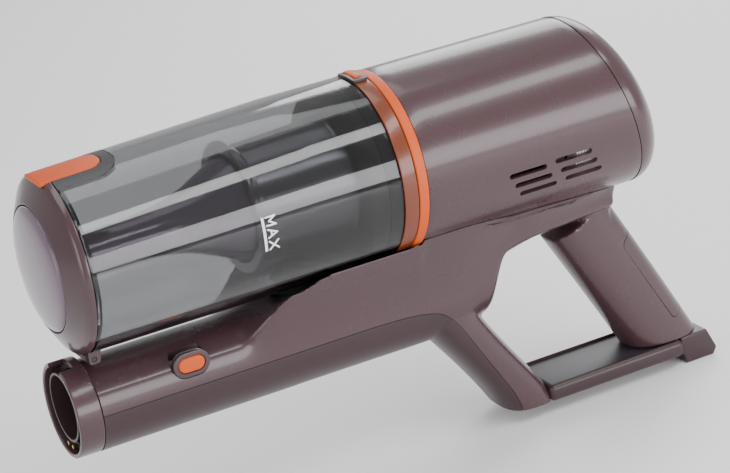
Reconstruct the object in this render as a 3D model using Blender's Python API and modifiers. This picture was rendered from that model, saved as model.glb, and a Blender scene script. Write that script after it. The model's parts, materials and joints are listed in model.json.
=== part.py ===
"""Handheld cordless vacuum: motor unit with a clear dust cup, wand nozzle, loop handle and base plate.

Units are metres. The object faces -X: the lid is at -X, the handle at +X and the wand release button is on
the -Y side. Every shape is written in barrel coordinates, whose origin lies on the barrel's axis at the rear
edge of the accent ring, and the empty "vacuum" carries them all to the frame's origin on the floor.
"""

import math

import bmesh
import bpy
from mathutils import Vector

MM = 0.001

# ---- driving dimensions (mm, barrel coordinates) ----
GAP = 0.3
WALL = 2.4
TURN_STEPS = 40

BARREL_R = 50.0
RING_X = (-5.8, 0.0)
COLLAR_X = (-14.3, -6.1)
CUP_X = (-186.0, -14.6)
SEAM_X_AT_AXIS = 127.0
SEAM_SLOPE = -0.244
CAP_DEPTH = 24.0
CAP_POWER = 2.15

CUP_WALL = 2.4
SHROUD_X = (-88.0, -32.0)
SHROUD_R = (31.5, 33.5)
FLANGE_R = 36.0
CORE_TUBE_R = 11.5
DRAFT_START_X = -60.0
DRAFT = 0.033

LID_HINGE = (-181.5, -53.2)
LID_LATCH_PIVOT = (-186.0, 48.0)

SEAM_Z = -79.3
SPINE_HALF_WIDTH = 25.3
NOZZLE_X = (-200.0, -186.8)
NOZZLE_Z = -80.0
NOZZLE_R = 25.6
BORE_Z = -78.5
BORE_R = 17.3
DUCT_R = 18.6
DUCT_BEND_R = 23.8
DUCT_TOP = (-58.0, -52.3)

PLATE_X = (73.0, 162.6)
PLATE_Z = (-160.0, -150.0)
PLATE_HALF_WIDTH = 20.5
FOOT_HALF_WIDTH = 16.5
FOOT_Z = -167.0

FRAME_OFFSET = (7.332, 0.0, 167.0)


# ---- scene, collections, materials ----
def clear_scene():
    for item in list(bpy.data.objects):
        bpy.data.objects.remove(item, do_unlink=True)


def new_collection(name):
    made = bpy.data.collections.new(name)
    bpy.context.scene.collection.children.link(made)
    return made


def srgb(red, green, blue):
    def linear(value):
        value = value / 255.0
        return value / 12.92 if value <= 0.04045 else ((value + 0.055) / 1.055) ** 2.4

    return (linear(red), linear(green), linear(blue), 1.0)


FINISHES = {
    "body_mauve": (srgb(112, 92, 94), 0.32, 0.0),
    "belly_brown": (srgb(94, 78, 78), 0.38, 0.0),
    "orange": (srgb(226, 132, 46), 0.35, 0.0),
    "collar_brown": (srgb(150, 95, 65), 0.3, 0.0),
    "smoke": (srgb(110, 112, 114), 0.12, 0.0),
    "charcoal": (srgb(58, 58, 60), 0.45, 0.0),
    "tray_grey": (srgb(110, 105, 112), 0.3, 0.0),
    "strip_grey": (srgb(200, 200, 202), 0.5, 0.0),
    "rubber": (srgb(26, 26, 28), 0.8, 0.0),
    "steel": (srgb(190, 192, 195), 0.3, 1.0),
    "brass": (srgb(200, 160, 90), 0.3, 1.0),
    "aluminium": (srgb(205, 206, 208), 0.35, 1.0),
    "copper_steel": (srgb(120, 84, 60), 0.5, 1.0),
    "board_green": (srgb(30, 82, 58), 0.5, 0.0),
    "cell_wrap": (srgb(52, 88, 140), 0.4, 0.0),
    "filter_white": (srgb(225, 224, 218), 0.9, 0.0),
}


def make_materials():
    made = {}
    for name, (colour, roughness, metallic) in FINISHES.items():
        material = bpy.data.materials.new(name)
        material.use_nodes = True
        shader = material.node_tree.nodes["Principled BSDF"]
        shader.inputs["Base Color"].default_value = colour
        shader.inputs["Roughness"].default_value = roughness
        shader.inputs["Metallic"].default_value = metallic
        material.diffuse_color = colour
        made[name] = material
    return made


clear_scene()
PARTS = new_collection("handheld_vacuum")
CUTTERS = new_collection("cutters")
MATERIALS = make_materials()


def add_object(name, mesh, finish=None):
    """A new object: a part with its finish, or a cutter where the finish is None."""
    item = bpy.data.objects.new(name, mesh)
    if finish is None:
        CUTTERS.objects.link(item)
        item.hide_render = True
        item.display_type = "WIRE"
        return item
    PARTS.objects.link(item)
    mesh.materials.append(MATERIALS[finish])
    return item


def to_mesh(name, bm):
    bmesh.ops.recalc_face_normals(bm, faces=bm.faces)
    mesh = bpy.data.meshes.new(name)
    bm.to_mesh(mesh)
    bm.free()
    mesh.shade_smooth()
    mesh.set_sharp_from_angle(angle=math.radians(32))
    return mesh


# ---- shape helpers (all sizes in mm, barrel coordinates) ----
def turned(name, outline, finish=None, centre=(0.0, 0.0), axis="X", steps=TURN_STEPS):
    """A turned piece: outline points (place along the axis, radius), from the far end down the outer side.

    The axis runs along X through y=0 and z=centre[0], or along Z through x=centre[0] and y=centre[1].
    An outline that starts and ends on the axis stays open, any other is closed into a ring.
    """
    bm = bmesh.new()
    points = [bm.verts.new((radius * MM, 0.0, along * MM)) for along, radius in outline]
    for first, second in zip(points, points[1:]):
        bm.edges.new((first, second))
    if outline[0][1] > 0.0:
        bm.edges.new((points[-1], points[0]))
    mesh = bpy.data.meshes.new(name)
    bm.to_mesh(mesh)
    bm.free()
    item = add_object(name, mesh, finish)
    if axis == "X":
        item.rotation_euler = (0.0, math.pi / 2, 0.0)
        item.location = (0.0, 0.0, centre[0] * MM)
    else:
        item.location = (centre[0] * MM, centre[1] * MM, 0.0)
    screw = item.modifiers.new("turn", "SCREW")
    screw.axis = "Z"
    screw.steps = steps
    screw.render_steps = steps
    screw.use_merge_vertices = True
    screw.merge_threshold = 0.00001
    screw.use_smooth_shade = True
    return item


def ring(name, x_range, r_out, r_in, finish=None, centre=(0.0, 0.0), axis="X", steps=TURN_STEPS):
    near, far = x_range
    outline = [(far, r_out), (near, r_out), (near, r_in), (far, r_in)]
    return turned(name, outline, finish, centre, axis, steps)


def disc(name, x_range, radius, finish=None, centre=(0.0, 0.0), axis="X", steps=TURN_STEPS):
    near, far = x_range
    outline = [(far, 0.0), (far, radius), (near, radius), (near, 0.0)]
    return turned(name, outline, finish, centre, axis, steps)


def box(name, low, high, finish=None, bevel=0.0, segments=2):
    """A box between two corners, with rounded edges where bevel is over 0."""
    bm = bmesh.new()
    bmesh.ops.create_cube(bm, size=1.0)
    size = [(b - a) * MM for a, b in zip(low, high)]
    middle = [(a + b) * MM / 2 for a, b in zip(low, high)]
    bmesh.ops.scale(bm, vec=size, verts=bm.verts)
    bmesh.ops.translate(bm, vec=middle, verts=bm.verts)
    item = add_object(name, to_mesh(name, bm), finish)
    if bevel > 0.0:
        rounding = item.modifiers.new("rounding", "BEVEL")
        rounding.width = bevel * MM
        rounding.segments = segments
    return item


def stadium(half_length, half_width, steps=8):
    """Outline of a slot with round ends, as (u, v) points."""
    points = []
    for side in (1, -1):
        for step in range(steps + 1):
            angle = -math.pi / 2 + math.pi * step / steps
            u = side * (half_length - half_width + half_width * math.cos(angle))
            points.append((u, side * half_width * math.sin(angle)))
    return points


def prism(name, outline, span, place, finish=None):
    """An outline of (u, v) points carried over span = (w0, w1). place(u, v, w) gives the point in space."""
    bm = bmesh.new()
    ends = [[bm.verts.new(Vector(place(u, v, w)) * MM) for u, v in outline] for w in span]
    bm.faces.new(ends[0])
    bm.faces.new(reversed(ends[1]))
    count = len(outline)
    for i in range(count):
        j = (i + 1) % count
        bm.faces.new((ends[0][i], ends[1][i], ends[1][j], ends[0][j]))
    return add_object(name, to_mesh(name, bm), finish)


def loft(name, rings, finish=None, inner=None):
    """A skin over rings of points, closed at both ends.

    With inner rings it is a shell: the first ring joins the first inner ring, and the last rings are closed.
    """
    bm = bmesh.new()

    def skin(loops):
        made = [[bm.verts.new(Vector(point) * MM) for point in loop] for loop in loops]
        for first, second in zip(made, made[1:]):
            bridge(first, second)
        return made

    def bridge(first, second):
        count = len(first)
        for i in range(count):
            j = (i + 1) % count
            bm.faces.new((first[i], first[j], second[j], second[i]))

    outer = skin(rings)
    bm.faces.new(outer[-1])
    if inner is None:
        bm.faces.new(outer[0])
    else:
        inside = skin(inner)
        bm.faces.new(inside[-1])
        bridge(outer[0], inside[0])
    return add_object(name, to_mesh(name, bm), finish)


def pipe(name, path, r_out, r_in, finish, sides=24):
    """A round tube with open ends along a path of (x, z) points in the plane y=0."""
    bm = bmesh.new()

    def loops(radius):
        made = []
        for i, (x, z) in enumerate(path):
            before, after = path[max(i - 1, 0)], path[min(i + 1, len(path) - 1)]
            along = Vector((after[0] - before[0], 0.0, after[1] - before[1])).normalized()
            side = Vector((along.z, 0.0, -along.x))
            loop = []
            for k in range(sides):
                angle = math.tau * k / sides
                offset = side * math.cos(angle) + Vector((0.0, 1.0, 0.0)) * math.sin(angle)
                loop.append(bm.verts.new((Vector((x, 0.0, z)) + offset * radius) * MM))
            made.append(loop)
        return made

    outer, inner = loops(r_out), loops(r_in)
    chain = outer + inner[::-1]
    for first, second in zip(chain, chain[1:] + chain[:1]):
        for k in range(sides):
            j = (k + 1) % sides
            bm.faces.new((first[k], first[j], second[j], second[k]))
    return add_object(name, to_mesh(name, bm), finish)


def boolean(item, other, operation="DIFFERENCE", solver="EXACT"):
    modifier = item.modifiers.new(operation.lower(), "BOOLEAN")
    modifier.operation = operation
    modifier.solver = solver
    modifier.object = other
    return item


def frozen_copy(name, source, finish=None):
    """A new object that holds the source's shape with its modifiers worked in."""
    bpy.context.view_layer.update()
    graph = bpy.context.evaluated_depsgraph_get()
    mesh = bpy.data.meshes.new_from_object(source.evaluated_get(graph))
    mesh.name = name
    mesh.transform(source.matrix_world)
    mesh.materials.clear()
    return add_object(name, mesh, finish)


def between(x, table):
    """The value at x on a smooth curve through a table of (x, value) knots."""
    if x <= table[0][0]:
        return table[0][1]
    for (x0, v0), (x1, v1) in zip(table, table[1:]):
        if x <= x1:
            t = (x - x0) / (x1 - x0)
            t = t * t * (3 - 2 * t)
            return v0 + (v1 - v0) * t
    return table[-1][1]


def rounded_section(centre, along, half_depth, half_width, power, count=24):
    """A superellipse ring round a point of the plane y=0, square to the direction "along" in that plane."""
    x, z = centre
    length = math.hypot(*along)
    side = (along[1] / length, -along[0] / length)
    points = []
    for k in range(count):
        angle = math.tau * k / count
        c, s = math.cos(angle), math.sin(angle)
        u = half_depth * math.copysign(abs(c) ** (2 / power), c)
        v = half_width * math.copysign(abs(s) ** (2 / power), s)
        points.append((x + side[0] * u, v, z + side[1] * u))
    return points


# ---- barrel: motor housing, rear cap, accent ring ----
def seam_x(z):
    """Where the slanted seam between housing and rear cap lies."""
    return SEAM_X_AT_AXIS + SEAM_SLOPE * z


def seam_cutter(name, forward, shift):
    """A block ahead of the slanted seam, or behind it, moved by shift."""
    reach = 260.0
    top, bottom = seam_x(80.0) + shift, seam_x(-80.0) + shift
    far = -reach if forward else reach
    outline = [(top, 80.0), (bottom, -80.0), (bottom + far, -80.0), (top + far, 80.0)]
    return prism(name, outline, (-90.0, 90.0), lambda u, v, w: (u, w, v))


def cap_rings(radius, depth, first_shift, turns):
    """Rings of the rear cap from its slanted rim to near its pole, along a superellipse."""
    rings = []
    for step in range(turns + 1):
        share = math.sin(math.pi / 2 * step / turns) * 0.985
        scale = (1.0 - share**CAP_POWER) ** (1.0 / CAP_POWER)
        loop = []
        for k in range(TURN_STEPS):
            angle = math.tau * k / TURN_STEPS
            y = radius * scale * math.sin(angle)
            z = radius * scale * math.cos(angle)
            loop.append((seam_x(z) + first_shift + depth * share, y, z))
        rings.append(loop)
    return rings


VENT_HALF_LENGTH = 11.5
VENT_HALF_HEIGHT = 1.6
VENT_COLUMNS = ((59.7, 102.9), (87.9, 101.6))
VENT_ROWS = 3
VENT_ROW_STEP = (3.7, 7.7)


def cut_vents(housing):
    """Six slots a side, in two columns of three rows, each row set a little further back than the one above."""
    for side in (1, -1):
        for column, (x, angle) in enumerate(VENT_COLUMNS):
            for row in range(VENT_ROWS):
                middle_x = x + VENT_ROW_STEP[0] * row
                turn = math.radians(angle + VENT_ROW_STEP[1] * row)
                out = (math.sin(turn), math.cos(turn))
                up = (-out[1], out[0])

                def place(u, v, w, middle_x=middle_x, out=out, up=up, side=side):
                    y = out[0] * w + up[0] * v
                    z = out[1] * w + up[1] * v
                    return (middle_x + u, -side * y, z)

                outline = stadium(VENT_HALF_LENGTH, VENT_HALF_HEIGHT, 4)
                cutter = prism(f"vent_{side}_{column}_{row}", outline, (42.0, 56.0), place)
                boolean(housing, cutter)


def build_barrel():
    outline = [(160.0, BARREL_R), (GAP, BARREL_R), (GAP, BARREL_R - WALL), (160.0, BARREL_R - WALL)]
    housing = turned("motor_housing", outline, "body_mauve")
    boolean(housing, seam_cutter("housing_trim", False, 0.0))
    cut_vents(housing)
    boolean(housing, disc("wire_hole_housing", (-60.0, -40.0), 7.0, None, (66.0, 0.0), "Z", 20))

    inner_depth = CAP_DEPTH - WALL
    rear_cap = loft(
        "rear_cap",
        cap_rings(BARREL_R, CAP_DEPTH, GAP, 7),
        "body_mauve",
        inner=cap_rings(BARREL_R - WALL, inner_depth, GAP, 7),
    )
    ring("accent_ring", RING_X, BARREL_R + 0.3, BARREL_R - 3.4, "orange")
    return housing, rear_cap


# ---- power button on the rear cap ----
BUTTON_AXIS = (0.0, 6.0)


def build_power_button(rear_cap):
    """A round button at the back, where the thumb reaches it, that presses forwards."""
    height = BUTTON_AXIS[1]
    rear = SEAM_X_AT_AXIS + CAP_DEPTH
    boolean(rear_cap, disc("power_hole", (rear - 20.0, rear + 8.0), 9.0, None, (height, 0.0), "X", 24))
    outline = [(rear + 0.4, 0.0), (rear + 0.4, 7.2), (rear - 0.6, 8.2), (rear - 9.0, 8.2), (rear - 9.0, 0.0)]
    return turned("power_button", outline, "charcoal", (height, 0.0), "X", 24)


# ---- spine, strut, grip ----
RIDGE_Y = ((-187.0, 22.5), (-104.0, 22.5), (-74.0, 33.5), (-55.0, 36.6), (110.0, 36.0), (140.0, 24.0))
RIDGE_Z = ((-187.0, -67.3), (-108.0, -67.0), (-74.0, -43.0), (-55.0, -36.9), (110.0, -36.5), (140.0, -43.0))
SHELF_Z = ((-187.0, -56.8), (-112.0, -56.8), (-74.0, -52.2), (150.0, -52.2))
BOTTOM_Z = ((-187.0, -106.0), (4.0, -106.0), (44.0, -101.0), (55.0, -68.0), (77.0, -62.7), (150.0, -61.9))
MIDDLE_Z = ((-187.0, SEAM_Z), (20.0, SEAM_Z), (64.0, -57.0), (150.0, -55.0))
HALF_WIDTH = ((-187.0, SPINE_HALF_WIDTH), (10.0, SPINE_HALF_WIDTH), (64.0, 24.0), (150.0, 17.0))
SADDLE_RISE = ((-0.4, 0.0), (GAP, 3.4), (121.0, 3.4), (128.0, 1.0))
SPINE_STATIONS = (-186.5, -150, -120, -104, -96, -88, -80, -72, -62, -40, -0.4, GAP)
SPINE_STATIONS += (20, 36, 46, 56, 66, 80, 100, 112, 121, 128)


def spine_section(x, inset=0.0):
    """The spine's outline at x: half an ellipse below, sides that sweep up to a ridge, and a hollow shelf."""
    rise = between(x, SADDLE_RISE) if inset == 0.0 else 0.0
    bottom = between(x, BOTTOM_Z) + inset
    middle = between(x, MIDDLE_Z)
    width = between(x, HALF_WIDTH) - inset
    ridge_y = between(x, RIDGE_Y) - inset
    ridge_z = between(x, RIDGE_Z) - inset * 0.6 + rise
    shelf = between(x, SHELF_Z) - inset + rise
    half = []
    for step in range(8):
        angle = math.pi / 2 * step / 7
        half.append((width * math.sin(angle), middle - (middle - bottom) * math.cos(angle)))
    for step in range(1, 5):
        t = step / 4
        pull = t * t
        half.append((width + (ridge_y - width) * pull, middle + (ridge_z - middle) * t))
    for step in range(1, 6):
        y = ridge_y * (1 - step / 5)
        half.append((y, shelf + (ridge_z - shelf) * (y / ridge_y) ** 2))
    near = [(x, -y, z) for y, z in half]
    far = [(x, y, z) for y, z in half[-2:0:-1]]
    return near + far


STRUT_PATH = ((14.5, -82.0), (26.2, -102.0), (42.2, -125.0), (57.9, -149.0), (69.9, -170.0))
STRUT_DEPTH = (17.0, 14.2, 13.2, 13.4, 14.3)
STRUT_WIDTH = (23.0, 22.5, 21.0, 20.5, 20.5)
GRIP_PATH = ((109.5, -62.0), (118.4, -78.0), (137.6, -113.0), (156.2, -148.0), (162.4, -160.0))
GRIP_DEPTH = (20.6, 20.5, 20.3, 20.0, 20.0)
GRIP_WIDTH = (17.0, 16.6, 16.5, 17.0, 17.5)
LOOP_FLOOR_Z = -149.7


def limb_rings(path, depths, widths, inset, power):
    rings = []
    for i, point in enumerate(path):
        before, after = path[max(i - 1, 0)], path[min(i + 1, len(path) - 1)]
        along = (after[0] - before[0], after[1] - before[1])
        rings.append(rounded_section(point, along, depths[i] - inset, widths[i] - inset, power))
    return rings


def build_frame_form():
    """The whole lower body as one hollow form, from which its mouldings are cut."""
    form = loft("frame_form", [spine_section(x) for x in SPINE_STATIONS])
    strut = loft("strut_form", limb_rings(STRUT_PATH, STRUT_DEPTH, STRUT_WIDTH, 0.0, 2.8))
    grip = loft("grip_form", limb_rings(GRIP_PATH, GRIP_DEPTH, GRIP_WIDTH, 0.0, 2.4))
    for limb in (strut, grip):
        boolean(form, limb, "UNION", "MANIFOLD")
    inner_x = [x for x in SPINE_STATIONS if -186 < x < 110]
    hollow_rings = [spine_section(x, WALL) for x in [-184.0] + inner_x]
    turns = [math.tau * k / len(hollow_rings[0]) for k in range(len(hollow_rings[0]))]
    hollow_rings.append([(109.0, -7.0 * math.sin(turn), -56.8 - 1.4 * math.cos(turn)) for turn in turns])
    hollow = loft("spine_hollow", hollow_rings)
    strut_hollow = loft("strut_hollow", limb_rings(STRUT_PATH, STRUT_DEPTH, STRUT_WIDTH, WALL, 2.8))
    grip_hollow = loft("grip_hollow", limb_rings(GRIP_PATH, GRIP_DEPTH, GRIP_WIDTH, WALL, 2.4))
    cutters = (
        hollow,
        strut_hollow,
        grip_hollow,
        box("floor_trim", (PLATE_X[0] - GAP, -40.0, -190.0), (210.0, 40.0, LOOP_FLOOR_Z)),
        box("strut_trim", (20.0, -40.0, -190.0), (PLATE_X[0] - GAP, 40.0, PLATE_Z[0] + 1.0)),
        disc("barrel_clearance", (-1.0, 170.0), BARREL_R + GAP),
        disc("wire_hole_spine", (-62.0, -40.0), 7.0, None, (66.0, 0.0), "Z", 20),
        disc("duct_hole", (-76.0, -45.0), DUCT_R + 3.3, None, (DUCT_TOP[0], 0.0), "Z", 28),
        disc("nozzle_opening", (-190.0, -180.0), DUCT_R + GAP, None, (BORE_Z, 0.0), "X", 28),
        button_hole("button_hole", 10.6, 7.1, -32.0, -14.0),
    )
    for cutter in cutters:
        boolean(form, cutter, "DIFFERENCE", "MANIFOLD")
    return form


def belly_outline(shift):
    """Side outline of everything below the seam: along the spine, then down the front of the strut."""
    seam = SEAM_Z + shift
    return [
        (-200.0, seam),
        (-24.0, seam),
        (-4.0, seam - 1.2),
        (10.0, seam - 4.5),
        (20.0, seam - 14.0),
        (35.5 + shift, -121.0),
        (54.0 + shift, -152.0),
        (62.0 + shift, -190.0),
        (-200.0, -190.0),
    ]


# ---- wand release button in the side of the spine ----
BUTTON_CENTRE = (-135.0, -66.6)
BUTTON_Y = (-25.4, -21.4)


def button_hole(name, half_length, half_height, low, high, finish=None):
    """A slot with round ends, or a block of that outline, square to the side of the spine."""
    x, z = BUTTON_CENTRE
    outline = stadium(half_length, half_height)
    return prism(name, outline, (low, high), lambda u, v, w: (x + u, w, z + v), finish)


def build_release_button():
    bezel = button_hole("release_bezel", 10.3, 6.8, -24.9, -21.2, "body_mauve")
    boolean(bezel, button_hole("bezel_hole", 7.8, 4.5, -32.0, -12.0))
    button = button_hole("wand_release_button", 7.5, 4.2, BUTTON_Y[0], BUTTON_Y[1], "orange")
    pawl = box("latch_pawl", (-141.0, -4.0, -101.0), (-129.0, 4.0, -92.9), "charcoal")
    return button, pawl


def build_spine():
    form = build_frame_form()
    spine = frozen_copy("spine_shell", form, "body_mauve")
    belly = frozen_copy("belly_cover", form, "belly_brown")
    panel = frozen_copy("grip_rear_panel", form, "body_mauve")
    below = prism("below_seam", belly_outline(GAP), (-60.0, 60.0), lambda u, v, w: (u, w, v))
    within = prism("within_belly", belly_outline(0.0), (-60.0, 60.0), lambda u, v, w: (u, w, v))
    behind = prism("behind_panel", panel_outline(GAP), (-60.0, 60.0), lambda u, v, w: (u, w, v))
    within_panel = prism("within_panel", panel_outline(0.0), (-60.0, 60.0), lambda u, v, w: (u, w, v))
    boolean(spine, below, "DIFFERENCE", "MANIFOLD")
    boolean(spine, behind, "DIFFERENCE", "MANIFOLD")
    boolean(belly, within, "INTERSECT", "MANIFOLD")
    boolean(panel, within_panel, "INTERSECT", "MANIFOLD")
    strip = frozen_copy("belly_strip", form, "strip_grey")
    pocket = box("strip_pocket", (-74.3, -12.8, -112.0), (-23.7, 12.8, -99.0))
    boolean(belly, pocket, "DIFFERENCE", "MANIFOLD")
    boolean(strip, box("strip_block", (-74.0, -12.5, -112.0), (-24.0, 12.5, -99.0)), "INTERSECT", "MANIFOLD")


def panel_outline(grown):
    """Side outline of the part of the grip that its rear panel takes."""
    return [
        (131.6 - grown, -83.7 + grown),
        (160.7 - grown, -137.7 - grown),
        (196.0, -119.0 - grown),
        (167.0, -64.0 + grown),
    ]


# ---- nozzle: collar, duct, contacts ----
def duct_path():
    """Along the bore, then a quarter turn up to the cup."""
    bend_x = DUCT_TOP[0] - DUCT_BEND_R
    path = [(-198.5, BORE_Z), (-160.0, BORE_Z)]
    for step in range(7):
        angle = math.pi / 2 * step / 6
        path.append((bend_x + DUCT_BEND_R * math.sin(angle), BORE_Z + DUCT_BEND_R * (1 - math.cos(angle))))
    return path + [DUCT_TOP]


def build_nozzle():
    collar = disc("nozzle_collar", NOZZLE_X, NOZZLE_R, "body_mauve", (NOZZLE_Z, 0.0))
    boolean(collar, disc("nozzle_mouth", (-210.0, -190.0), NOZZLE_R - WALL, None, (NOZZLE_Z, 0.0)))
    boolean(collar, disc("nozzle_bore", (-210.0, -180.0), DUCT_R + GAP, None, (BORE_Z, 0.0), "X", 28))
    boolean(collar, box("nozzle_notch", (-210.0, -8.0, -60.0), (-192.0, 8.0, -50.0)))
    duct = pipe("inlet_duct", duct_path(), DUCT_R, BORE_R, "belly_brown")
    boolean(duct, box("pawl_slot", (-141.6, -4.6, -105.0), (-128.4, 4.6, -90.0)))
    box("contact_block", (-196.0, -6.0, -101.6), (-190.4, 6.0, -97.5), "charcoal")
    for side, y in (("left", 3.2), ("right", -3.2)):
        pin = disc(f"contact_pin_{side}", (-198.8, -196.3), 1.1, "brass", (-99.6, 0.0), "X", 12)
        pin.location.y = y * MM
    gasket = ring("duct_gasket", (-52.0, -44.0), DUCT_R, 16.0, "rubber", (DUCT_TOP[0], 0.0), "Z", 28)
    boolean(gasket, disc("cup_clearance", (-190.0, 0.0), BARREL_R + GAP))


# ---- base plate, tray and foot ----
def build_base():
    plate = box(
        "base_plate",
        (PLATE_X[0], -PLATE_HALF_WIDTH, PLATE_Z[0]),
        (PLATE_X[1], PLATE_HALF_WIDTH, PLATE_Z[1]),
        "belly_brown",
        2.0,
        2,
    )
    boolean(plate, box("plate_pocket", (75.4, -17.9, -158.4), (159.0, 17.9, -140.0)))
    box("base_tray", (75.8, -17.5, -153.0), (158.6, 17.5, -151.6), "tray_grey")
    outline = [(163.0, -150.1), (163.0, -160.6), (165.0, -161.5), (165.6, FOOT_Z)]
    outline += [(184.5, FOOT_Z), (187.0, -163.0), (181.0, -150.1)]
    span = (-FOOT_HALF_WIDTH, FOOT_HALF_WIDTH)
    foot = prism("rear_foot", outline, span, lambda u, v, w: (u, w, v), "belly_brown")
    rounding = foot.modifiers.new("rounding", "BEVEL")
    rounding.width = 1.2 * MM
    rounding.segments = 2


# ---- motor, rotor, electronics, battery ----
CELL_R = 9.1
CELL_X = (-37.4, 27.6)
CELL_ROWS = (-88.8, -70.1)
CELL_Y = 9.5


def build_motor():
    ring("motor_can", (14.0, 78.0), 31.0, 29.0, "steel")
    ring("motor_mount_front", (8.0, 13.7), 47.2, 20.0, "rubber")
    ring("motor_mount_rear", (78.3, 84.0), 47.2, 20.0, "rubber")
    ring("stator", (38.0, 62.0), 28.6, 13.0, "copper_steel", steps=32)
    ring("bearing_front", (31.0, 36.0), 7.0, 2.8, "steel", steps=24)
    ring("bearing_rear", (66.0, 71.0), 7.0, 2.8, "steel", steps=24)
    bracket = [(36.6, 28.6), (31.0, 28.6), (31.0, 7.4), (36.6, 7.4)]
    turned("bearing_bracket_front", bracket, "aluminium", steps=32)
    bracket = [(71.0, 28.6), (66.0, 28.6), (66.0, 7.4), (71.0, 7.4)]
    turned("bearing_bracket_rear", bracket, "aluminium", steps=32)
    ring("motor_board", (88.0, 89.6), 28.0, 6.0, "board_green", steps=24)
    ring("exhaust_filter", (92.0, 108.0), 46.8, 38.0, "filter_white")


def build_rotor():
    shaft = disc("rotor_shaft", (15.0, 74.0), 2.5, "steel", steps=16)
    magnet = ring("rotor_magnet", (39.0, 61.0), 12.4, 2.8, "steel", steps=24)
    hub = [(29.0, 4.2), (27.6, 26.5), (25.8, 26.5), (17.0, 7.0), (17.0, 2.8), (29.0, 2.8)]
    return shaft, magnet, turned("impeller", hub, "aluminium", steps=32)


def build_battery():
    number = 0
    for z in CELL_ROWS:
        for y in (-CELL_Y, CELL_Y):
            number += 1
            cell = disc(f"battery_cell_{number}", CELL_X, CELL_R, "cell_wrap", (z, 0.0), "X", 20)
            cell.location.y = y * MM
    box("cell_holder", (-39.0, -12.0, -92.0), (-37.7, 12.0, -65.0), "charcoal")
    box("main_board", (30.0, -15.0, -72.0), (50.0, 15.0, -70.4), "board_green")


# ---- dust cup and what is fixed in it ----
def latch_outline(half_width, front, rear, corner):
    """Plan of the latch: square at the front, round at the back."""
    points = [(front, -half_width), (front, half_width)]
    for side in (1, -1):
        for step in range(6):
            angle = math.pi / 2 * (step / 5 if side < 0 else 1 - step / 5)
            x = rear - corner + corner * math.cos(angle)
            points.append((x, side * (half_width - corner + corner * math.sin(angle))))
    return points


def flat_prism(name, outline, low, high, finish=None):
    return prism(name, outline, (low, high), lambda u, v, w: (u, v, w), finish)


def build_cup():
    made = []
    cup = ring("dust_cup", CUP_X, BARREL_R, BARREL_R - CUP_WALL, "smoke")
    boolean(cup, flat_prism("latch_notch", latch_outline(19.8, -190.0, -150.2, 14.0), 30.0, 60.0))
    boolean(cup, disc("cup_port", (-60.0, -40.0), 16.0, None, (DUCT_TOP[0], 0.0), "Z", 28))
    collar = ring("cup_collar", COLLAR_X, BARREL_R, 46.0, "collar_brown")
    boolean(collar, box("collar_button_hole", (-13.4, -6.9, 40.0), (-8.3, 6.9, 60.0)))
    made += [cup, collar]
    body = [(-8.0, 45.6), (-22.0, 45.6), (-22.0, 47.2), (-31.7, 47.2), (-31.7, 31.9), (-29.5, 31.9)]
    body += [(-29.5, 43.6), (-8.0, 43.6)]
    made.append(turned("separator_body", body, "charcoal"))
    made.append(ring("cup_seal", (-21.7, -14.7), 47.3, 46.0, "rubber"))
    made.append(ring("filter_cartridge", (-29.0, -17.0), 43.0, 15.0, "filter_white"))
    made.append(ring("filter_cap", (-16.6, -9.0), 43.0, 18.0, "charcoal"))
    front, rear = SHROUD_X
    small, large = SHROUD_R
    shroud = [(rear, large), (front, small), (front, small - 1.6), (rear, large - 1.6)]
    made.append(turned("shroud", shroud, "smoke"))
    made.append(ring("shroud_flange", (front - 2.8, front - GAP), FLANGE_R, 29.9, "smoke"))
    cone = [(-88.4, 29.4), (-97.0, 26.0), (-113.0, 17.5), (-130.0, 12.2), (-181.0, CORE_TUBE_R)]
    wall = 1.6
    inside = [(x, radius - wall) for x, radius in reversed(cone)]
    made.append(turned("core_tube", cone + inside, "smoke"))
    housing = flat_prism("latch_housing", latch_outline(19.5, -185.9, -150.5, 14.0), 43.6, 49.3, "charcoal")
    boolean(housing, flat_prism("latch_pocket", latch_outline(11.9, -190.0, -156.2, 9.2), 45.6, 60.0))
    boolean(housing, disc("seal_clearance", (-190.0, -182.2), 46.6))
    made.append(housing)
    surround = box("button_surround", (-15.2, -9.4, 40.0), (-6.4, 9.4, 60.0), "charcoal")
    boolean(surround, disc("surround_top", (-20.0, 0.0), BARREL_R + 1.6, steps=72), "INTERSECT")
    boolean(surround, disc("surround_floor", (-20.0, 0.0), BARREL_R + GAP, steps=72))
    boolean(surround, box("surround_hole", (-13.4, -6.9, 40.0), (-8.3, 6.9, 60.0)))
    made.append(surround)
    pin_x, pin_z = LID_HINGE
    for side, y in (("left", 9.3), ("right", -12.5)):
        outline = [(-184.3, -55.9), (-178.5, -55.9), (-176.5, -45.0), (-184.3, -45.0)]
        lug = prism(f"hinge_lug_{side}", outline, (y, y + 3.2), lambda u, v, w: (u, w, v), "charcoal")
        boolean(lug, disc(f"lug_clearance_{side}", (-190.0, -170.0), BARREL_R + GAP, steps=72))
        boolean(lug, rod(f"lug_hole_{side}", pin_x, pin_z, 1.5, -20.0, 20.0))
        made.append(lug)
    made.append(rod("hinge_pin", pin_x, pin_z, 1.2, -12.4, 12.4, "steel"))
    return made


def rod(name, x, z, radius, y0, y1, finish=None, sides=16):
    """A round bar along Y."""
    turns = [math.tau * k / sides for k in range(sides)]
    outline = [(radius * math.cos(turn), radius * math.sin(turn)) for turn in turns]
    return prism(name, outline, (y0, y1), lambda u, v, w: (x + u, w, z + v), finish)


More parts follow.
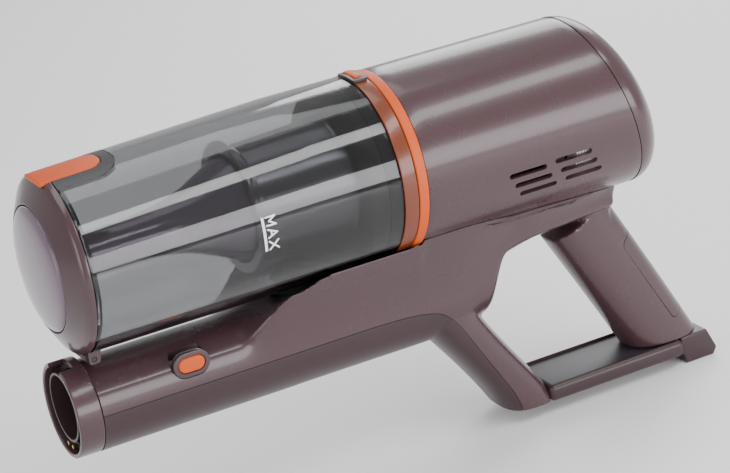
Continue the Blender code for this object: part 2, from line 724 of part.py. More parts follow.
def build_lid():
    outer = [(-186.3, 50.0), (-188.6, 49.5), (-191.2, 47.6), (-194.3, 42.4), (-197.4, 35.3)]
    inner = [(-195.2, 34.9), (-192.4, 41.4), (-188.9, 46.6), (-186.3, 47.3)]
    cap = turned("front_cap", outer + inner, "body_mauve")
    x, z = LID_HINGE
    lug = [(-186.6, -46.5), (-188.3, -46.5), (-188.3, -50.0), (-184.4, -55.2), (-183.0, -55.6)]
    for step in range(7):
        angle = math.pi * step / 6
        lug.append((x + 2.5 * math.sin(angle), z - 2.5 * math.cos(angle)))
    lug += [(-186.0, -50.7)]
    boolean(cap, prism("lid_lug", lug, (-9.0, 9.0), lambda u, v, w: (u, w, v)), "UNION")
    boolean(cap, rod("lid_lug_hole", x, z, 1.5, -20.0, 20.0))
    boolean(cap, box("tab_flat", (-200.0, -11.8, 46.5), (-180.0, 11.8, 60.0)))
    dome = [(-194.8, 0.0), (-194.8, 34.5), (-197.2, 34.5)]
    for step in range(1, 7):
        angle = math.pi / 2 * step / 6
        dome.append((-197.2 - 4.4 * math.sin(angle), 33.8 * math.cos(angle) if step < 6 else 0.0))
    seal = ring("lid_seal", (-188.2, -182.6), 46.2, 43.8, "rubber")
    return cap, turned("cap_disc", dome, "body_mauve"), seal


def build_latches():
    tab = flat_prism("lid_latch_tab", latch_outline(11.4, -192.2, -156.8, 8.8), 46.9, 49.4, "orange")
    release = box("cup_release_button", (-13.1, -6.6, 48.4), (-8.6, 6.6, 52.2), "orange", 0.4, 1)
    return tab, release


# ---- assembly: each moving piece hangs from an empty on its joint's axis ----
def empty_at(name, place, parent=None):
    item = bpy.data.objects.new(name, None)
    PARTS.objects.link(item)
    item.location = Vector(place) * MM
    item.parent = parent
    return item


def drafted(x, y, z):
    """Where a point of the cup moves to: its top line drops forwards while its bottom line stays level."""
    drop = DRAFT * max(0.0, DRAFT_START_X - x)
    share = 1.0 - drop / (2.0 * BARREL_R)
    return (x, y * share, z * share - drop / 2.0)


def apply_draft(item):
    bpy.context.view_layer.update()
    graph = bpy.context.evaluated_depsgraph_get()
    mesh = bpy.data.meshes.new_from_object(item.evaluated_get(graph))
    mesh.transform(item.matrix_world)
    for vertex in mesh.vertices:
        vertex.co = Vector(drafted(*(vertex.co / MM))) * MM
    item.modifiers.clear()
    item.location = (0.0, 0.0, 0.0)
    item.rotation_euler = (0.0, 0.0, 0.0)
    item.data = mesh


def hang(items, parent):
    for item in items:
        item.parent = parent
        item.location = item.location - parent.location


def main():
    housing, rear_cap = build_barrel()
    power = build_power_button(rear_cap)
    build_spine()
    build_nozzle()
    build_base()
    build_motor()
    build_battery()
    button, pawl = build_release_button()
    rotor = build_rotor()
    cup = build_cup()
    lid = build_lid()
    tab, release = build_latches()
    for item in [*cup, *lid, tab]:
        apply_draft(item)

    groups = (
        ("rotor_axis", (0.0, 0.0, 0.0), rotor),
        ("cup_slide", (CUP_X[0], 0.0, 0.0), cup),
        ("lid_hinge_axis", drafted(LID_HINGE[0], 0.0, LID_HINGE[1]), lid),
        ("lid_latch_axis", drafted(LID_LATCH_PIVOT[0], 0.0, LID_LATCH_PIVOT[1]), [tab]),
        ("cup_release_axis", (-10.8, 0.0, 50.0), [release]),
        ("wand_release_axis", (BUTTON_CENTRE[0], -23.0, BUTTON_CENTRE[1]), [button]),
        ("pawl_axis", (BUTTON_CENTRE[0], 0.0, -97.0), [pawl]),
        ("power_button_axis", (SEAM_X_AT_AXIS + CAP_DEPTH, 0.0, BUTTON_AXIS[1]), [power]),
    )
    for name, place, items in groups:
        hang(items, empty_at(name, place))
    vacuum = empty_at("vacuum", FRAME_OFFSET)
    for item in PARTS.objects:
        if item.parent is None and item is not vacuum:
            item.parent = vacuum
    for cutter in CUTTERS.objects:
        cutter.parent = vacuum


main()
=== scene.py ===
"""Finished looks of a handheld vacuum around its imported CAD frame.

Shapes are worked out in millimetres in barrel coordinates: the origin lies on the barrel's axis at the
rear edge of the accent ring, -X points to the lid, -Y to the side with the wand release button and +Z up.
Each finished piece is carried into the frame, in metres, with its place in its mesh.
"""

from __future__ import annotations

import json
import logging
import math
from collections.abc import Callable, Sequence
from dataclasses import dataclass, field
from enum import Enum

import bmesh
import bpy
import numpy as np
from mathutils import Matrix, Quaternion, Vector


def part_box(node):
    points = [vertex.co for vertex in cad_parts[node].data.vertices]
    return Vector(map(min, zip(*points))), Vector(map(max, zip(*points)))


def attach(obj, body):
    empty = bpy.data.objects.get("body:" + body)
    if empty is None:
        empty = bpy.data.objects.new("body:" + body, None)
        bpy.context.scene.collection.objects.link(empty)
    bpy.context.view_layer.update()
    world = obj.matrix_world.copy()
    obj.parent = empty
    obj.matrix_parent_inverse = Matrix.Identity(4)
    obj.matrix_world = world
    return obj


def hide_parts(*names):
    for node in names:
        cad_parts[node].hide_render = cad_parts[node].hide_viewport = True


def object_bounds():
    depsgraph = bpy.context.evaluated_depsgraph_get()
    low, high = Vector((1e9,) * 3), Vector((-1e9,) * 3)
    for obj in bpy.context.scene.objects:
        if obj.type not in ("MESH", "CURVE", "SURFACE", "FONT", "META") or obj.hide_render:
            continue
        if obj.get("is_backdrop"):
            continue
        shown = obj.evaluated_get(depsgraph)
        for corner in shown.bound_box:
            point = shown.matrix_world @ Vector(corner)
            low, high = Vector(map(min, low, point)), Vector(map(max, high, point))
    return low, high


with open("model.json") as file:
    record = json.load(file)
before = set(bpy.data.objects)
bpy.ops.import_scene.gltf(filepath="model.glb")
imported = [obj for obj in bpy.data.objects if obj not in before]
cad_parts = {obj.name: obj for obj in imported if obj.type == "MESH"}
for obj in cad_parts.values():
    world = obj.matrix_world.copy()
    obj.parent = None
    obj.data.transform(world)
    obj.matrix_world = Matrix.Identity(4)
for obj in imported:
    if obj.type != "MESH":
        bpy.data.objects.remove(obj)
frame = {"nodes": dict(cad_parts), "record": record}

LOG = logging.getLogger("handheld_vacuum")
MM = 0.001
SEGMENTS = 160
MERGE_DISTANCE = 1e-4

# Sizes in millimetres that more than one sub-assembly shares.
BARREL_R = 50.0
WALL = 2.4
GAP = 0.3
DRAFT_FROM, DRAFT = -60.0, 0.033
HINGE_X, HINGE_Z = -181.5, -53.2
PORT_X, PORT_R = -58.0, 16.0
BORE_Z, BORE_R = -78.5, 18.9
WIRE_X, WIRE_R = 66.0, 7.0

# Scales of the shared surface effects, in cells a metre.
CLOUD_SCALE = 22.0
SMUDGE_SCALE = 60.0
BRUSH_SCALE = (6000.0, 120.0, 120.0)

Array = np.ndarray
Outline = Sequence[tuple[float, float]]
Socket = bpy.types.NodeSocket


class Join(Enum):
    """What becomes of two solids that meet."""

    CUT = "DIFFERENCE"
    UNITE = "UNION"
    COMMON = "INTERSECT"


# ---- shapes -------------------------------------------------------------------------------------------
def between(x: Array | float, table: Outline) -> Array:
    """Value at x on smoothstep curves through a table of knots.

    Between two knots the value goes as v0 + (v1 - v0) * t * t * (3 - 2 t), with t from 0 to 1.

    Args:
        x: Places to read.
        table: Knots as (x, value), in rising x.

    Returns:
        The values, with the shape of x.
    """
    places, values = np.array(table, float).T
    x = np.asarray(x, float)
    knot = np.clip(np.searchsorted(places, x, side="right") - 1, 0, len(places) - 2)
    t = np.clip((x - places[knot]) / (places[knot + 1] - places[knot]), 0.0, 1.0)
    return values[knot] + (values[knot + 1] - values[knot]) * t * t * (3.0 - 2.0 * t)


def drafted(points: Array) -> Array:
    """The cup's taper: its top line drops towards the lid, and its bottom line stays level.

    Ahead of DRAFT_FROM the top drops by d = DRAFT (DRAFT_FROM - x). A section shrinks about the axis by
    the share 1 - d / 2 R and sinks by d / 2.

    Args:
        points: Rows of x, y and z.

    Returns:
        The tapered points.
    """
    drop = DRAFT * np.maximum(0.0, DRAFT_FROM - points[:, 0])
    share = 1.0 - drop / (2.0 * BARREL_R)
    return np.column_stack([points[:, 0], points[:, 1] * share, points[:, 2] * share - drop / 2.0])


def rounded(outline: Outline, radius: float, steps: int = 4) -> list[tuple[float, float]]:
    """A closed outline with each corner turned into a quadratic arc.

    An arc starts and ends where the corner's two sides are cut at the radius, or at 45% of a shorter side,
    and runs as (1 - t)^2 a + 2 t (1 - t) corner + t^2 b.

    Args:
        outline: Corners of the closed outline.
        radius: Length cut off each side of a corner.
        steps: Segments in each arc.

    Returns:
        The new outline.
    """
    corners = np.array(outline, float)
    before, after = np.roll(corners, 1, axis=0), np.roll(corners, -1, axis=0)
    made: list[tuple[float, float]] = []
    t = np.linspace(0.0, 1.0, steps + 1)[:, None]
    for first, corner, last in zip(before, corners, after):
        to_first, to_last = first - corner, last - corner
        cut_first = min(radius, 0.45 * np.linalg.norm(to_first)) / max(np.linalg.norm(to_first), 1e-9)
        cut_last = min(radius, 0.45 * np.linalg.norm(to_last)) / max(np.linalg.norm(to_last), 1e-9)
        start, end = corner + to_first * cut_first, corner + to_last * cut_last
        arc = (1.0 - t) ** 2 * start + 2.0 * t * (1.0 - t) * corner + t**2 * end
        made += [tuple(point) for point in arc]
    return made


def eased(outline: Outline, radius: float, steps: int = 4) -> list[tuple[float, float]]:
    """An open profile with its inner corners turned into arcs, and its two ends kept.

    Args:
        outline: Points of the open profile.
        radius: Length cut off each side of a corner.
        steps: Segments in each arc.

    Returns:
        The new profile.
    """
    arcs = rounded(outline, radius, steps)
    return [outline[0], *arcs[steps + 1 : -(steps + 1)], outline[-1]]


def stadium(half_length: float, half_width: float, steps: int = 10) -> list[tuple[float, float]]:
    """Outline of a slot: two half circles of the half width, joined by straight sides.

    Args:
        half_length: Half of the whole length.
        half_width: Radius of the two ends.
        steps: Segments in each half circle.

    Returns:
        The closed outline, round its own middle.
    """
    turn = -math.pi / 2 + math.pi * np.arange(steps + 1) / steps
    u = half_length - half_width + half_width * np.cos(turn)
    v = half_width * np.sin(turn)
    return list(zip(np.concatenate([u, -u]).tolist(), np.concatenate([v, -v]).tolist()))


def latch_outline(half_width: float, front: float, rear: float, corner: float) -> list[tuple[float, float]]:
    """Plan of the lid latch: square at the front and round at the back, as quarter circles of the corner.

    Args:
        half_width: Half of the width.
        front: Place of the square end along X.
        rear: Place of the round end along X.
        corner: Radius of the round end's corners.

    Returns:
        The closed outline.
    """
    turn = np.linspace(math.pi / 2, 0.0, 12)
    x = rear - corner + corner * np.cos(turn)
    y = half_width - corner + corner * np.sin(turn)
    far = list(zip(x.tolist(), y.tolist()))
    near = [(px, -py) for px, py in reversed(far)]
    return [(front, -half_width), (front, half_width), *far, *near]


class Solid:
    """A mesh object in barrel millimetres, while it is being made."""

    def __init__(self, name: str, verts: Array, faces: Sequence[Sequence[int]]) -> None:
        """Makes the object from a mesh, with its faces turned outwards.

        Args:
            name: Name of the object.
            verts: Rows of x, y and z.
            faces: Vertex numbers of each face.
        """
        mesh = bpy.data.meshes.new(name)
        mesh.from_pydata(np.asarray(verts, float).tolist(), [], [list(face) for face in faces])
        self.item = bpy.data.objects.new(name, mesh)
        bpy.context.scene.collection.objects.link(self.item)
        self.tidy()

    def tidy(self) -> None:
        """Joins vertices that coincide and turns the faces outwards."""
        bm = bmesh.new()
        bm.from_mesh(self.item.data)
        bmesh.ops.remove_doubles(bm, verts=bm.verts, dist=MERGE_DISTANCE)
        bmesh.ops.recalc_face_normals(bm, faces=bm.faces)
        bm.to_mesh(self.item.data)
        bm.free()

    def bake(self) -> Solid:
        """Works the live modifiers into the mesh.

        Returns:
            This solid.
        """
        bpy.context.view_layer.update()
        graph = bpy.context.evaluated_depsgraph_get()
        mesh = bpy.data.meshes.new_from_object(self.item.evaluated_get(graph))
        self.item.modifiers.clear()
        self.item.data = mesh
        return self

    def boolean(self, other: Solid, join: Join = Join.CUT) -> Solid:
        """Cuts or joins with another solid, which is used up.

        Args:
            other: The second solid.
            join: What becomes of the two.

        Returns:
            This solid.
        """
        modifier = self.item.modifiers.new("boolean", "BOOLEAN")
        modifier.operation = join.value
        modifier.solver = "MANIFOLD"
        modifier.object = other.item
        self.bake()
        bpy.data.objects.remove(other.item, do_unlink=True)
        return self

    def copy(self, name: str) -> Solid:
        """A second solid of the same shape.

        Args:
            name: Name of the second solid.

        Returns:
            The second solid.
        """
        twin = Solid.__new__(Solid)
        twin.item = bpy.data.objects.new(name, self.item.data.copy())
        bpy.context.scene.collection.objects.link(twin.item)
        return twin

    def bevel(self, width: float, segments: int = 3, angle: float = 35.0) -> Solid:
        """Rounds the edges that are sharper than the angle.

        Args:
            width: Width of the rounding.
            segments: Steps across it.
            angle: Least angle between the faces, in degrees.

        Returns:
            This solid.
        """
        modifier = self.item.modifiers.new("rounding", "BEVEL")
        modifier.width = width
        modifier.segments = segments
        modifier.limit_method = "ANGLE"
        modifier.angle_limit = math.radians(angle)
        modifier.harden_normals = False
        return self.bake()

    def soften(self, voxel: float, turns: int) -> Solid:
        """Remeshes into even cells and relaxes them, which gives every edge and joint a soft round.

        Args:
            voxel: Size of a cell.
            turns: Rounds of relaxing.

        Returns:
            This solid.
        """
        remesh = self.item.modifiers.new("cells", "REMESH")
        remesh.mode = "VOXEL"
        remesh.voxel_size = voxel
        relax = self.item.modifiers.new("relax", "SMOOTH")
        relax.factor = 0.5
        relax.iterations = turns
        return self.bake()

    def moved(self, change: Callable[[Array], Array]) -> Solid:
        """Moves every vertex by a function of all of them.

        Args:
            change: Takes all the points as rows, and gives the new ones.

        Returns:
            This solid.
        """
        mesh = self.item.data
        points = np.empty(len(mesh.vertices) * 3)
        mesh.vertices.foreach_get("co", points)
        mesh.vertices.foreach_set("co", change(points.reshape(-1, 3)).ravel())
        mesh.update()
        return self


def grid_faces(rows: int, columns: int, close_rows: bool) -> list[tuple[int, int, int, int]]:
    """Quads of a grid whose columns close on themselves, and whose rows do where asked.

    Args:
        rows: Number of rows.
        columns: Points in each row.
        close_rows: Whether the last row joins the first.

    Returns:
        The quads, as vertex numbers.
    """
    row = np.arange(rows if close_rows else rows - 1)[:, None]
    column = np.arange(columns)[None, :]
    next_row, next_column = (row + 1) % rows, (column + 1) % columns
    corners = (row * columns + column, row * columns + next_column)
    ends = (next_row * columns + next_column, next_row * columns + column)
    quads = np.stack([np.broadcast_to(c, (row.size, columns)) for c in (*corners, *ends)], axis=-1)
    return quads.reshape(-1, 4).tolist()


def turned(
    name: str, outline: Outline, height: float = 0.0, segments: int = SEGMENTS, closed: bool = True
) -> Solid:
    """A turned piece round the line y = 0, z = height.

    A point (x, r) of the outline becomes the circle (x, r sin a, height + r cos a).

    Args:
        name: Name of the piece.
        outline: Points (x, radius) of the profile.
        height: Height of the axis over the barrel's axis.
        segments: Steps round the axis.
        closed: Whether the profile joins its first point, as a ring's does.

    Returns:
        The closed solid.
    """
    x, radius = np.array(outline, float).T
    turn = math.tau * np.arange(segments) / segments
    y = radius[:, None] * np.sin(turn)
    z = height + radius[:, None] * np.cos(turn)
    points = np.stack([np.broadcast_to(x[:, None], y.shape), y, z], axis=-1).reshape(-1, 3)
    return Solid(name, points, grid_faces(len(x), segments, closed))


def ring(name: str, near: float, far: float, r_out: float, r_in: float, edge: float = 0.5) -> Solid:
    """A plain ring with rounded edges.

    Args:
        name: Name of the piece.
        near: Place of its front face.
        far: Place of its rear face.
        r_out: Outer radius.
        r_in: Inner radius.
        edge: Size of the rounding.

    Returns:
        The ring, round the barrel's axis.
    """
    outline = [(far, r_out), (near, r_out), (near, r_in), (far, r_in)]
    return turned(name, rounded(outline, edge))


def rod_x(
    name: str, near: float, far: float, radius: float, height: float = 0.0, steps: int = SEGMENTS
) -> Solid:
    """A plain cylinder along X.

    Args:
        name: Name of the piece.
        near: Place of its front end.
        far: Place of its rear end.
        radius: Its radius.
        height: Height of its axis over the barrel's.
        steps: Steps round it.

    Returns:
        The closed solid.
    """
    outline = [(far, 0.0), (far, radius), (near, radius), (near, 0.0)]
    return turned(name, outline, height, steps, closed=False)


def prism(
    name: str, outline: Outline, span: tuple[float, float], place: Callable[[Array, Array, float], tuple]
) -> Solid:
    """An outline of (u, v) points carried straight from one w to another.

    Args:
        name: Name of the piece.
        outline: Points (u, v) of the closed outline.
        span: First and last w.
        place: Takes u, v and w, and gives x, y and z.

    Returns:
        The closed solid.
    """
    u, v = np.array(outline, float).T
    count = len(u)
    ends = [np.column_stack(np.broadcast_arrays(*place(u, v, w))) for w in span]
    sides = [(i, (i + 1) % count, count + (i + 1) % count, count + i) for i in range(count)]
    return Solid(name, np.vstack(ends), [*sides, range(count - 1, -1, -1), range(count, 2 * count)])


def flat(u: Array, v: Array, w: float) -> tuple:
    """Plan outlines: u along X, v along Y, carried up Z."""
    return u, v, w


def upright(u: Array, v: Array, w: float) -> tuple:
    """Side outlines: u along X, v along Z, carried across Y."""
    return u, w, v


def box(name: str, low: Sequence[float], high: Sequence[float]) -> Solid:
    """A box between two corners."""
    outline = [(low[0], low[1]), (high[0], low[1]), (high[0], high[1]), (low[0], high[1])]
    return prism(name, outline, (low[2], high[2]), flat)


def circle(middle: tuple[float, float], radius: float, steps: int) -> list[tuple[float, float]]:
    """Outline of a circle: middle + r (cos a, sin a).

    Args:
        middle: Its middle (u, v).
        radius: Its radius.
        steps: Number of points.

    Returns:
        The closed outline.
    """
    turn = math.tau * np.arange(steps) / steps
    u, v = middle[0] + radius * np.cos(turn), middle[1] + radius * np.sin(turn)
    return list(zip(u.tolist(), v.tolist()))


def cross_rod(name: str, middle: tuple[float, float], radius: float, near: float, far: float) -> Solid:
    """A round bar along Y, about a middle (x, z)."""
    return prism(name, circle(middle, radius, 40), (near, far), upright)


def upright_rod(name: str, x: float, low: float, high: float, radius: float) -> Solid:
    """A round bar along Z on the plane y = 0."""
    return prism(name, circle((x, 0.0), radius, 64), (low, high), flat)


def lofted(name: str, rings: Array) -> Solid:
    """A skin over rings of points, an array of rings x points x 3, with a flat face at each end.

    Args:
        name: Name of the piece.
        rings: The rings, each with its points in order.

    Returns:
        The closed solid.
    """
    count, around = rings.shape[:2]
    faces = grid_faces(count, around, False)
    faces += [tuple(range(around)), tuple(range(count * around - 1, (count - 1) * around - 1, -1))]
    return Solid(name, rings.reshape(-1, 3), faces)


def tube(name: str, path: Outline, r_out: float, r_in: float) -> Solid:
    """A round pipe with open ends along a path in the plane y = 0.

    At each point of the path the section is the circle p + r (side cos a + y sin a), with side square to
    the path in its plane. The outer rings run to the end and the inner ones run back.

    Args:
        name: Name of the piece.
        path: Points (x, z) along the middle of the pipe.
        r_out: Outer radius.
        r_in: Inner radius.

    Returns:
        The closed solid.
    """
    segments = 72
    points = np.array(path, float)
    along = np.gradient(points, axis=0)
    along /= np.linalg.norm(along, axis=1)[:, None]
    side = np.column_stack([along[:, 1], -along[:, 0]])
    turn = math.tau * np.arange(segments) / segments
    loops = []
    for radius in (r_out, r_in):
        x = points[:, :1] + radius * side[:, :1] * np.cos(turn)
        z = points[:, 1:] + radius * side[:, 1:] * np.cos(turn)
        loops.append(np.stack([x, np.broadcast_to(radius * np.sin(turn), x.shape), z], axis=-1))
    chain = np.concatenate([loops[0], loops[1][::-1]])
    return Solid(name, chain.reshape(-1, 3), grid_faces(len(chain), segments, True))


# ---- finishes -----------------------------------------------------------------------------------------
def linear(red: float, green: float, blue: float) -> tuple[float, float, float, float]:
    """A display colour (0 to 255) as linear light.

    Args:
        red: Red, 0 to 255.
        green: Green.
        blue: Blue.

    Returns:
        The linear colour, with an alpha of 1.
    """

    def one(value: float) -> float:
        """One channel: the slope near black, the 2.4 power above it."""
        value /= 255.0
        return value / 12.92 if value <= 0.04045 else ((value + 0.055) / 1.055) ** 2.4

    return (one(red), one(green), one(blue), 1.0)


class Nodes:
    """Short calls for building a node tree."""

    def __init__(self, tree: bpy.types.NodeTree) -> None:
        """Keeps the tree to build in."""
        self.tree = tree

    def add(self, kind: str, **settings: object) -> bpy.types.Node:
        """A node of that kind with its properties set.

        Args:
            kind: Type name of the node.
            settings: Properties and their values.

        Returns:
            The node.
        """
        node = self.tree.nodes.new(kind)
        for name, value in settings.items():
            setattr(node, name, value)
        return node

    def link(self, start: Socket, end: Socket) -> None:
        """Joins an output to an input."""
        self.tree.links.new(start, end)

    def math(self, operation: str, *operands: Socket | float) -> Socket:
        """A Math node.

        Args:
            operation: Its operation.
            operands: Sockets or numbers, in order.

        Returns:
            Its value.
        """
        node = self.add("ShaderNodeMath", operation=operation)
        for socket, value in zip(node.inputs, operands):
            self.feed(value, socket)
        return node.outputs[0]

    def feed(self, value: Socket | float, end: Socket) -> None:
        """Gives an input a socket's value or a number.

        Args:
            value: The socket or number.
            end: The input.
        """
        if isinstance(value, Socket):
            self.link(value, end)
        else:
            end.default_value = value

    def noise(self, vector: Socket, scale: Socket | float, detail: float) -> Socket:
        """A Noise texture.

        Args:
            vector: Where it is read.
            scale: Its scale.
            detail: Its octaves.

        Returns:
            Its value.
        """
        node = self.add("ShaderNodeTexNoise")
        node.inputs["Detail"].default_value = detail
        self.link(vector, node.inputs["Vector"])
        self.feed(scale, node.inputs["Scale"])
        return node.outputs["Fac"]

    def blend(self, kind: str, first: Socket, second: Socket, share: Socket | float = 1.0) -> Socket:
        """A colour Mix node.

        Args:
            kind: Its blend type.
            first: First colour.
            second: Second colour.
            share: How much of the blend is taken.

        Returns:
            The mixed colour.
        """
        node = self.add("ShaderNodeMix", data_type="RGBA", blend_type=kind)
        self.feed(share, node.inputs["Factor"])
        self.link(first, node.inputs[6])
        self.link(second, node.inputs[7])
        return node.outputs[2]

    def bump(self, height: Socket, strength: Socket) -> Socket:
        """A Bump node, a millimetre deep at full strength.

        Args:
            height: Height over the surface, 0 to 1.
            strength: How much of it is taken.

        Returns:
            The normal.
        """
        node = self.add("ShaderNodeBump")
        node.inputs["Distance"].default_value = MM
        self.link(strength, node.inputs["Strength"])
        self.link(height, node.inputs["Height"])
        return node.outputs["Normal"]


class Effect(Enum):
    """Shared surface effects, each a node group."""

    MOULDED = "moulded_skin"
    BRUSHED = "brushed_lines"
    STRIPED = "striped_relief"


SOCKET_KINDS = {"Colour": "NodeSocketColor", "Groove Shade And Tone": "NodeSocketColor", "Normal": "NodeSocketVector"}
GROUP_INPUTS = {
    Effect.MOULDED: ("Colour", "Mottle", "Roughness", "Smudge", "Grain Size", "Depth"),
    Effect.BRUSHED: ("Colour", "Roughness", "Depth"),
    Effect.STRIPED: ("Colour", "Groove Shade And Tone", "Pitch", "Depth"),
}
GROUP_OUTPUTS = {
    Effect.MOULDED: ("Colour", "Roughness", "Normal"),
    Effect.BRUSHED: ("Colour", "Roughness", "Normal"),
    Effect.STRIPED: ("Colour", "Normal"),
}


def moulded_skin(made: Nodes, place: Socket, given: bpy.types.NodeOutputs) -> dict[str, Socket]:
    """Moulded plastic: a cloudy tone, smudges in the gloss and a fine grain.

    Args:
        made: The group's tree.
        place: Where the surface is.
        given: The group's inputs, by name.

    Returns:
        The sockets that feed the group's outputs.
    """
    cloud = made.math("SUBTRACT", made.noise(place, CLOUD_SCALE, 3.0), 0.5)
    tone = made.math("MULTIPLY_ADD", cloud, given["Mottle"], 1.0)
    smudge = made.math("SUBTRACT", made.noise(place, SMUDGE_SCALE, 4.0), 0.45)
    smudge = made.math("MULTIPLY", smudge, given["Smudge"])
    grain = made.noise(place, made.math("DIVIDE", 1.0, given["Grain Size"]), 1.0)
    return {
        "Colour": made.blend("MULTIPLY", given["Colour"], tone),
        "Roughness": made.math("ADD", given["Roughness"], smudge),
        "Normal": made.bump(grain, given["Depth"]),
    }


def brushed_lines(made: Nodes, place: Socket, given: bpy.types.NodeOutputs) -> dict[str, Socket]:
    """Turned or brushed metal: fine lines across X in the tone, the gloss and the relief.

    Args:
        made: The group's tree.
        place: Where the surface is.
        given: The group's inputs, by name.

    Returns:
        The sockets that feed the group's outputs.
    """
    stretch = made.add("ShaderNodeMapping")
    stretch.inputs["Scale"].default_value = BRUSH_SCALE
    made.link(place, stretch.inputs["Vector"])
    lines = made.noise(stretch.outputs["Vector"], 1.0, 2.0)
    return {
        "Colour": made.blend("MULTIPLY", given["Colour"], made.math("MULTIPLY_ADD", lines, 0.3, 0.85)),
        "Roughness": made.math("MULTIPLY_ADD", lines, 0.12, given["Roughness"]),
        "Normal": made.bump(lines, given["Depth"]),
    }


def striped_relief(made: Nodes, place: Socket, given: bpy.types.NodeOutputs) -> dict[str, Socket]:
    """Windings, pleats and tracks: grooves across X, as (1 + sin(2 pi x / pitch)) / 2, with the groove colour
    in the grooves: painted shade in pleat valleys and between winding turns, the board's own tone between
    tracks.

    Args:
        made: The group's tree.
        place: Where the surface is.
        given: The group's inputs, by name.

    Returns:
        The sockets that feed the group's outputs.
    """
    axes = made.add("ShaderNodeSeparateXYZ")
    made.link(place, axes.inputs["Vector"])
    turn = made.math("DIVIDE", made.math("MULTIPLY", axes.outputs["X"], math.tau), given["Pitch"])
    wave = made.math("MULTIPLY_ADD", made.math("SINE", turn), 0.5, 0.5)
    return {
        # Where the wave is low the groove colour is painted shade for pleats and windings, and the board's
        # own tone between its tracks.
        "Colour": made.blend("MIX", given["Groove Shade And Tone"], given["Colour"], wave),
        "Normal": made.bump(wave, given["Depth"]),
    }


def effect_group(effect: Effect) -> bpy.types.NodeTree:
    """The node group of an effect, built the first time it is asked for.

    Args:
        effect: Which effect.

    Returns:
        Its group.
    """
    if effect.value in bpy.data.node_groups:
        return bpy.data.node_groups[effect.value]
    tree = bpy.data.node_groups.new(effect.value, "ShaderNodeTree")
    for side, names in (("INPUT", GROUP_INPUTS[effect]), ("OUTPUT", GROUP_OUTPUTS[effect])):
        for name in names:
            kind = SOCKET_KINDS.get(name, "NodeSocketFloat")
            tree.interface.new_socket(name, in_out=side, socket_type=kind)
    made = Nodes(tree)
    start, end = made.add("NodeGroupInput"), made.add("NodeGroupOutput")
    place = made.add("ShaderNodeTexCoord").outputs["Object"]
    patterns = {Effect.MOULDED: moulded_skin, Effect.BRUSHED: brushed_lines, Effect.STRIPED: striped_relief}
    for name, socket in patterns[effect](made, place, start.outputs).items():
        made.link(socket, end.inputs[name])
    return tree


@dataclass(frozen=True)
class Finish:
    """A surface finish: its colour and gloss, and the shared effect that gives it life."""

    name: str
    slot: str
    colour: tuple[float, float, float]
    roughness: float
    metallic: float = 0.0
    coat: float = 0.0
    clear: float = 0.0
    effect: Effect = Effect.MOULDED
    mottle: float = 0.03
    smudge: float = 0.03
    grain: float = 0.5
    depth: float = 0.015
    # Colour at the bottom of the striped relief's grooves: painted shade for windings and pleats, the board's
    # own tone between tracks.
    groove: tuple[float, float, float] = (30.0, 30.0, 30.0)

    def varying(self) -> dict[str, str]:
        """The effect's outputs that change over the surface.

        Returns:
            Each such output, with the shader's socket that it feeds.
        """
        moulded = self.effect is Effect.MOULDED
        links = {}
        if not moulded or self.mottle > 0.0:
            links["Colour"] = "Base Color"
        if self.effect is Effect.BRUSHED or moulded and self.smudge > 0.0:
            links["Roughness"] = "Roughness"
        if self.depth > 0.0:
            links["Normal"] = "Normal"
        return links

    def material(self) -> bpy.types.Material:
        """The finish as a material, built the first time it is asked for.

        Returns:
            The material.
        """
        if self.name in bpy.data.materials:
            return bpy.data.materials[self.name]
        material = bpy.data.materials.new(self.name)
        material.use_nodes = True
        made = Nodes(material.node_tree)
        shader = material.node_tree.nodes["Principled BSDF"]
        colour = linear(*self.colour)
        material.diffuse_color = colour
        plain = {"Base Color": colour, "Roughness": self.roughness, "Metallic": self.metallic, "IOR": 1.45}
        plain |= {"Coat Weight": self.coat, "Coat Roughness": 0.08, "Transmission Weight": self.clear}
        for name, value in plain.items():
            shader.inputs[name].default_value = value
        group = made.add("ShaderNodeGroup", node_tree=effect_group(self.effect))
        values = {"Colour": colour, "Roughness": self.roughness, "Mottle": self.mottle, "Smudge": self.smudge}
        values |= {"Grain Size": self.grain * MM, "Pitch": self.grain * MM, "Depth": self.depth}
        values["Groove Shade And Tone"] = linear(*self.groove)
        for socket in group.inputs:
            socket.default_value = values[socket.name]
        for output, socket in self.varying().items():
            made.link(group.outputs[output], shader.inputs[socket])
        return material


BODY = Finish("mauve_body", "body_mauve", (66, 46, 50), 0.27, coat=0.25)
LID = Finish("mauve_lid", "body_mauve", (64, 43, 48), 0.24, coat=0.35)
DISC = Finish("lilac_disc", "body_mauve", (98, 80, 94), 0.16, coat=0.6)
BELLY = Finish("brown_belly", "belly_brown", (52, 36, 39), 0.36)
ORANGE = Finish("orange_accent", "orange", (194, 74, 0), 0.5)
AMBER = Finish("amber_collar", "collar_brown", (106, 48, 22), 0.26, coat=0.25)
SMOKE = Finish("smoke_cup", "smoke", (172, 173, 175), 0.03, clear=1.0, mottle=0.0, smudge=0.02, depth=0.0)
SMOKE_DARK = Finish("smoke_shroud", "smoke", (112, 111, 116), 0.2, metallic=0.75, coat=0.5)
VIOLET = Finish(
    "violet_cone", "smoke", (138, 122, 140), 0.16, metallic=0.35, coat=0.8, clear=0.3, mottle=0.0, depth=0.0
)
CHARCOAL = Finish("charcoal_trim", "charcoal", (44, 43, 46), 0.36)
SEPARATOR = Finish("dark_separator", "charcoal", (26, 26, 28), 0.22, coat=0.4)
TRAY = Finish("grey_tray", "tray_grey", (50, 45, 52), 0.48)
STRIP = Finish("frosted_strip", "strip_grey", (206, 205, 206), 0.42)
RUBBER = Finish("black_rubber", "rubber", (20, 20, 22), 0.7, depth=0.1)
STEEL = Finish(
    "brushed_steel", "steel", (190, 192, 195), 0.28, metallic=1.0, effect=Effect.BRUSHED, depth=0.1
)
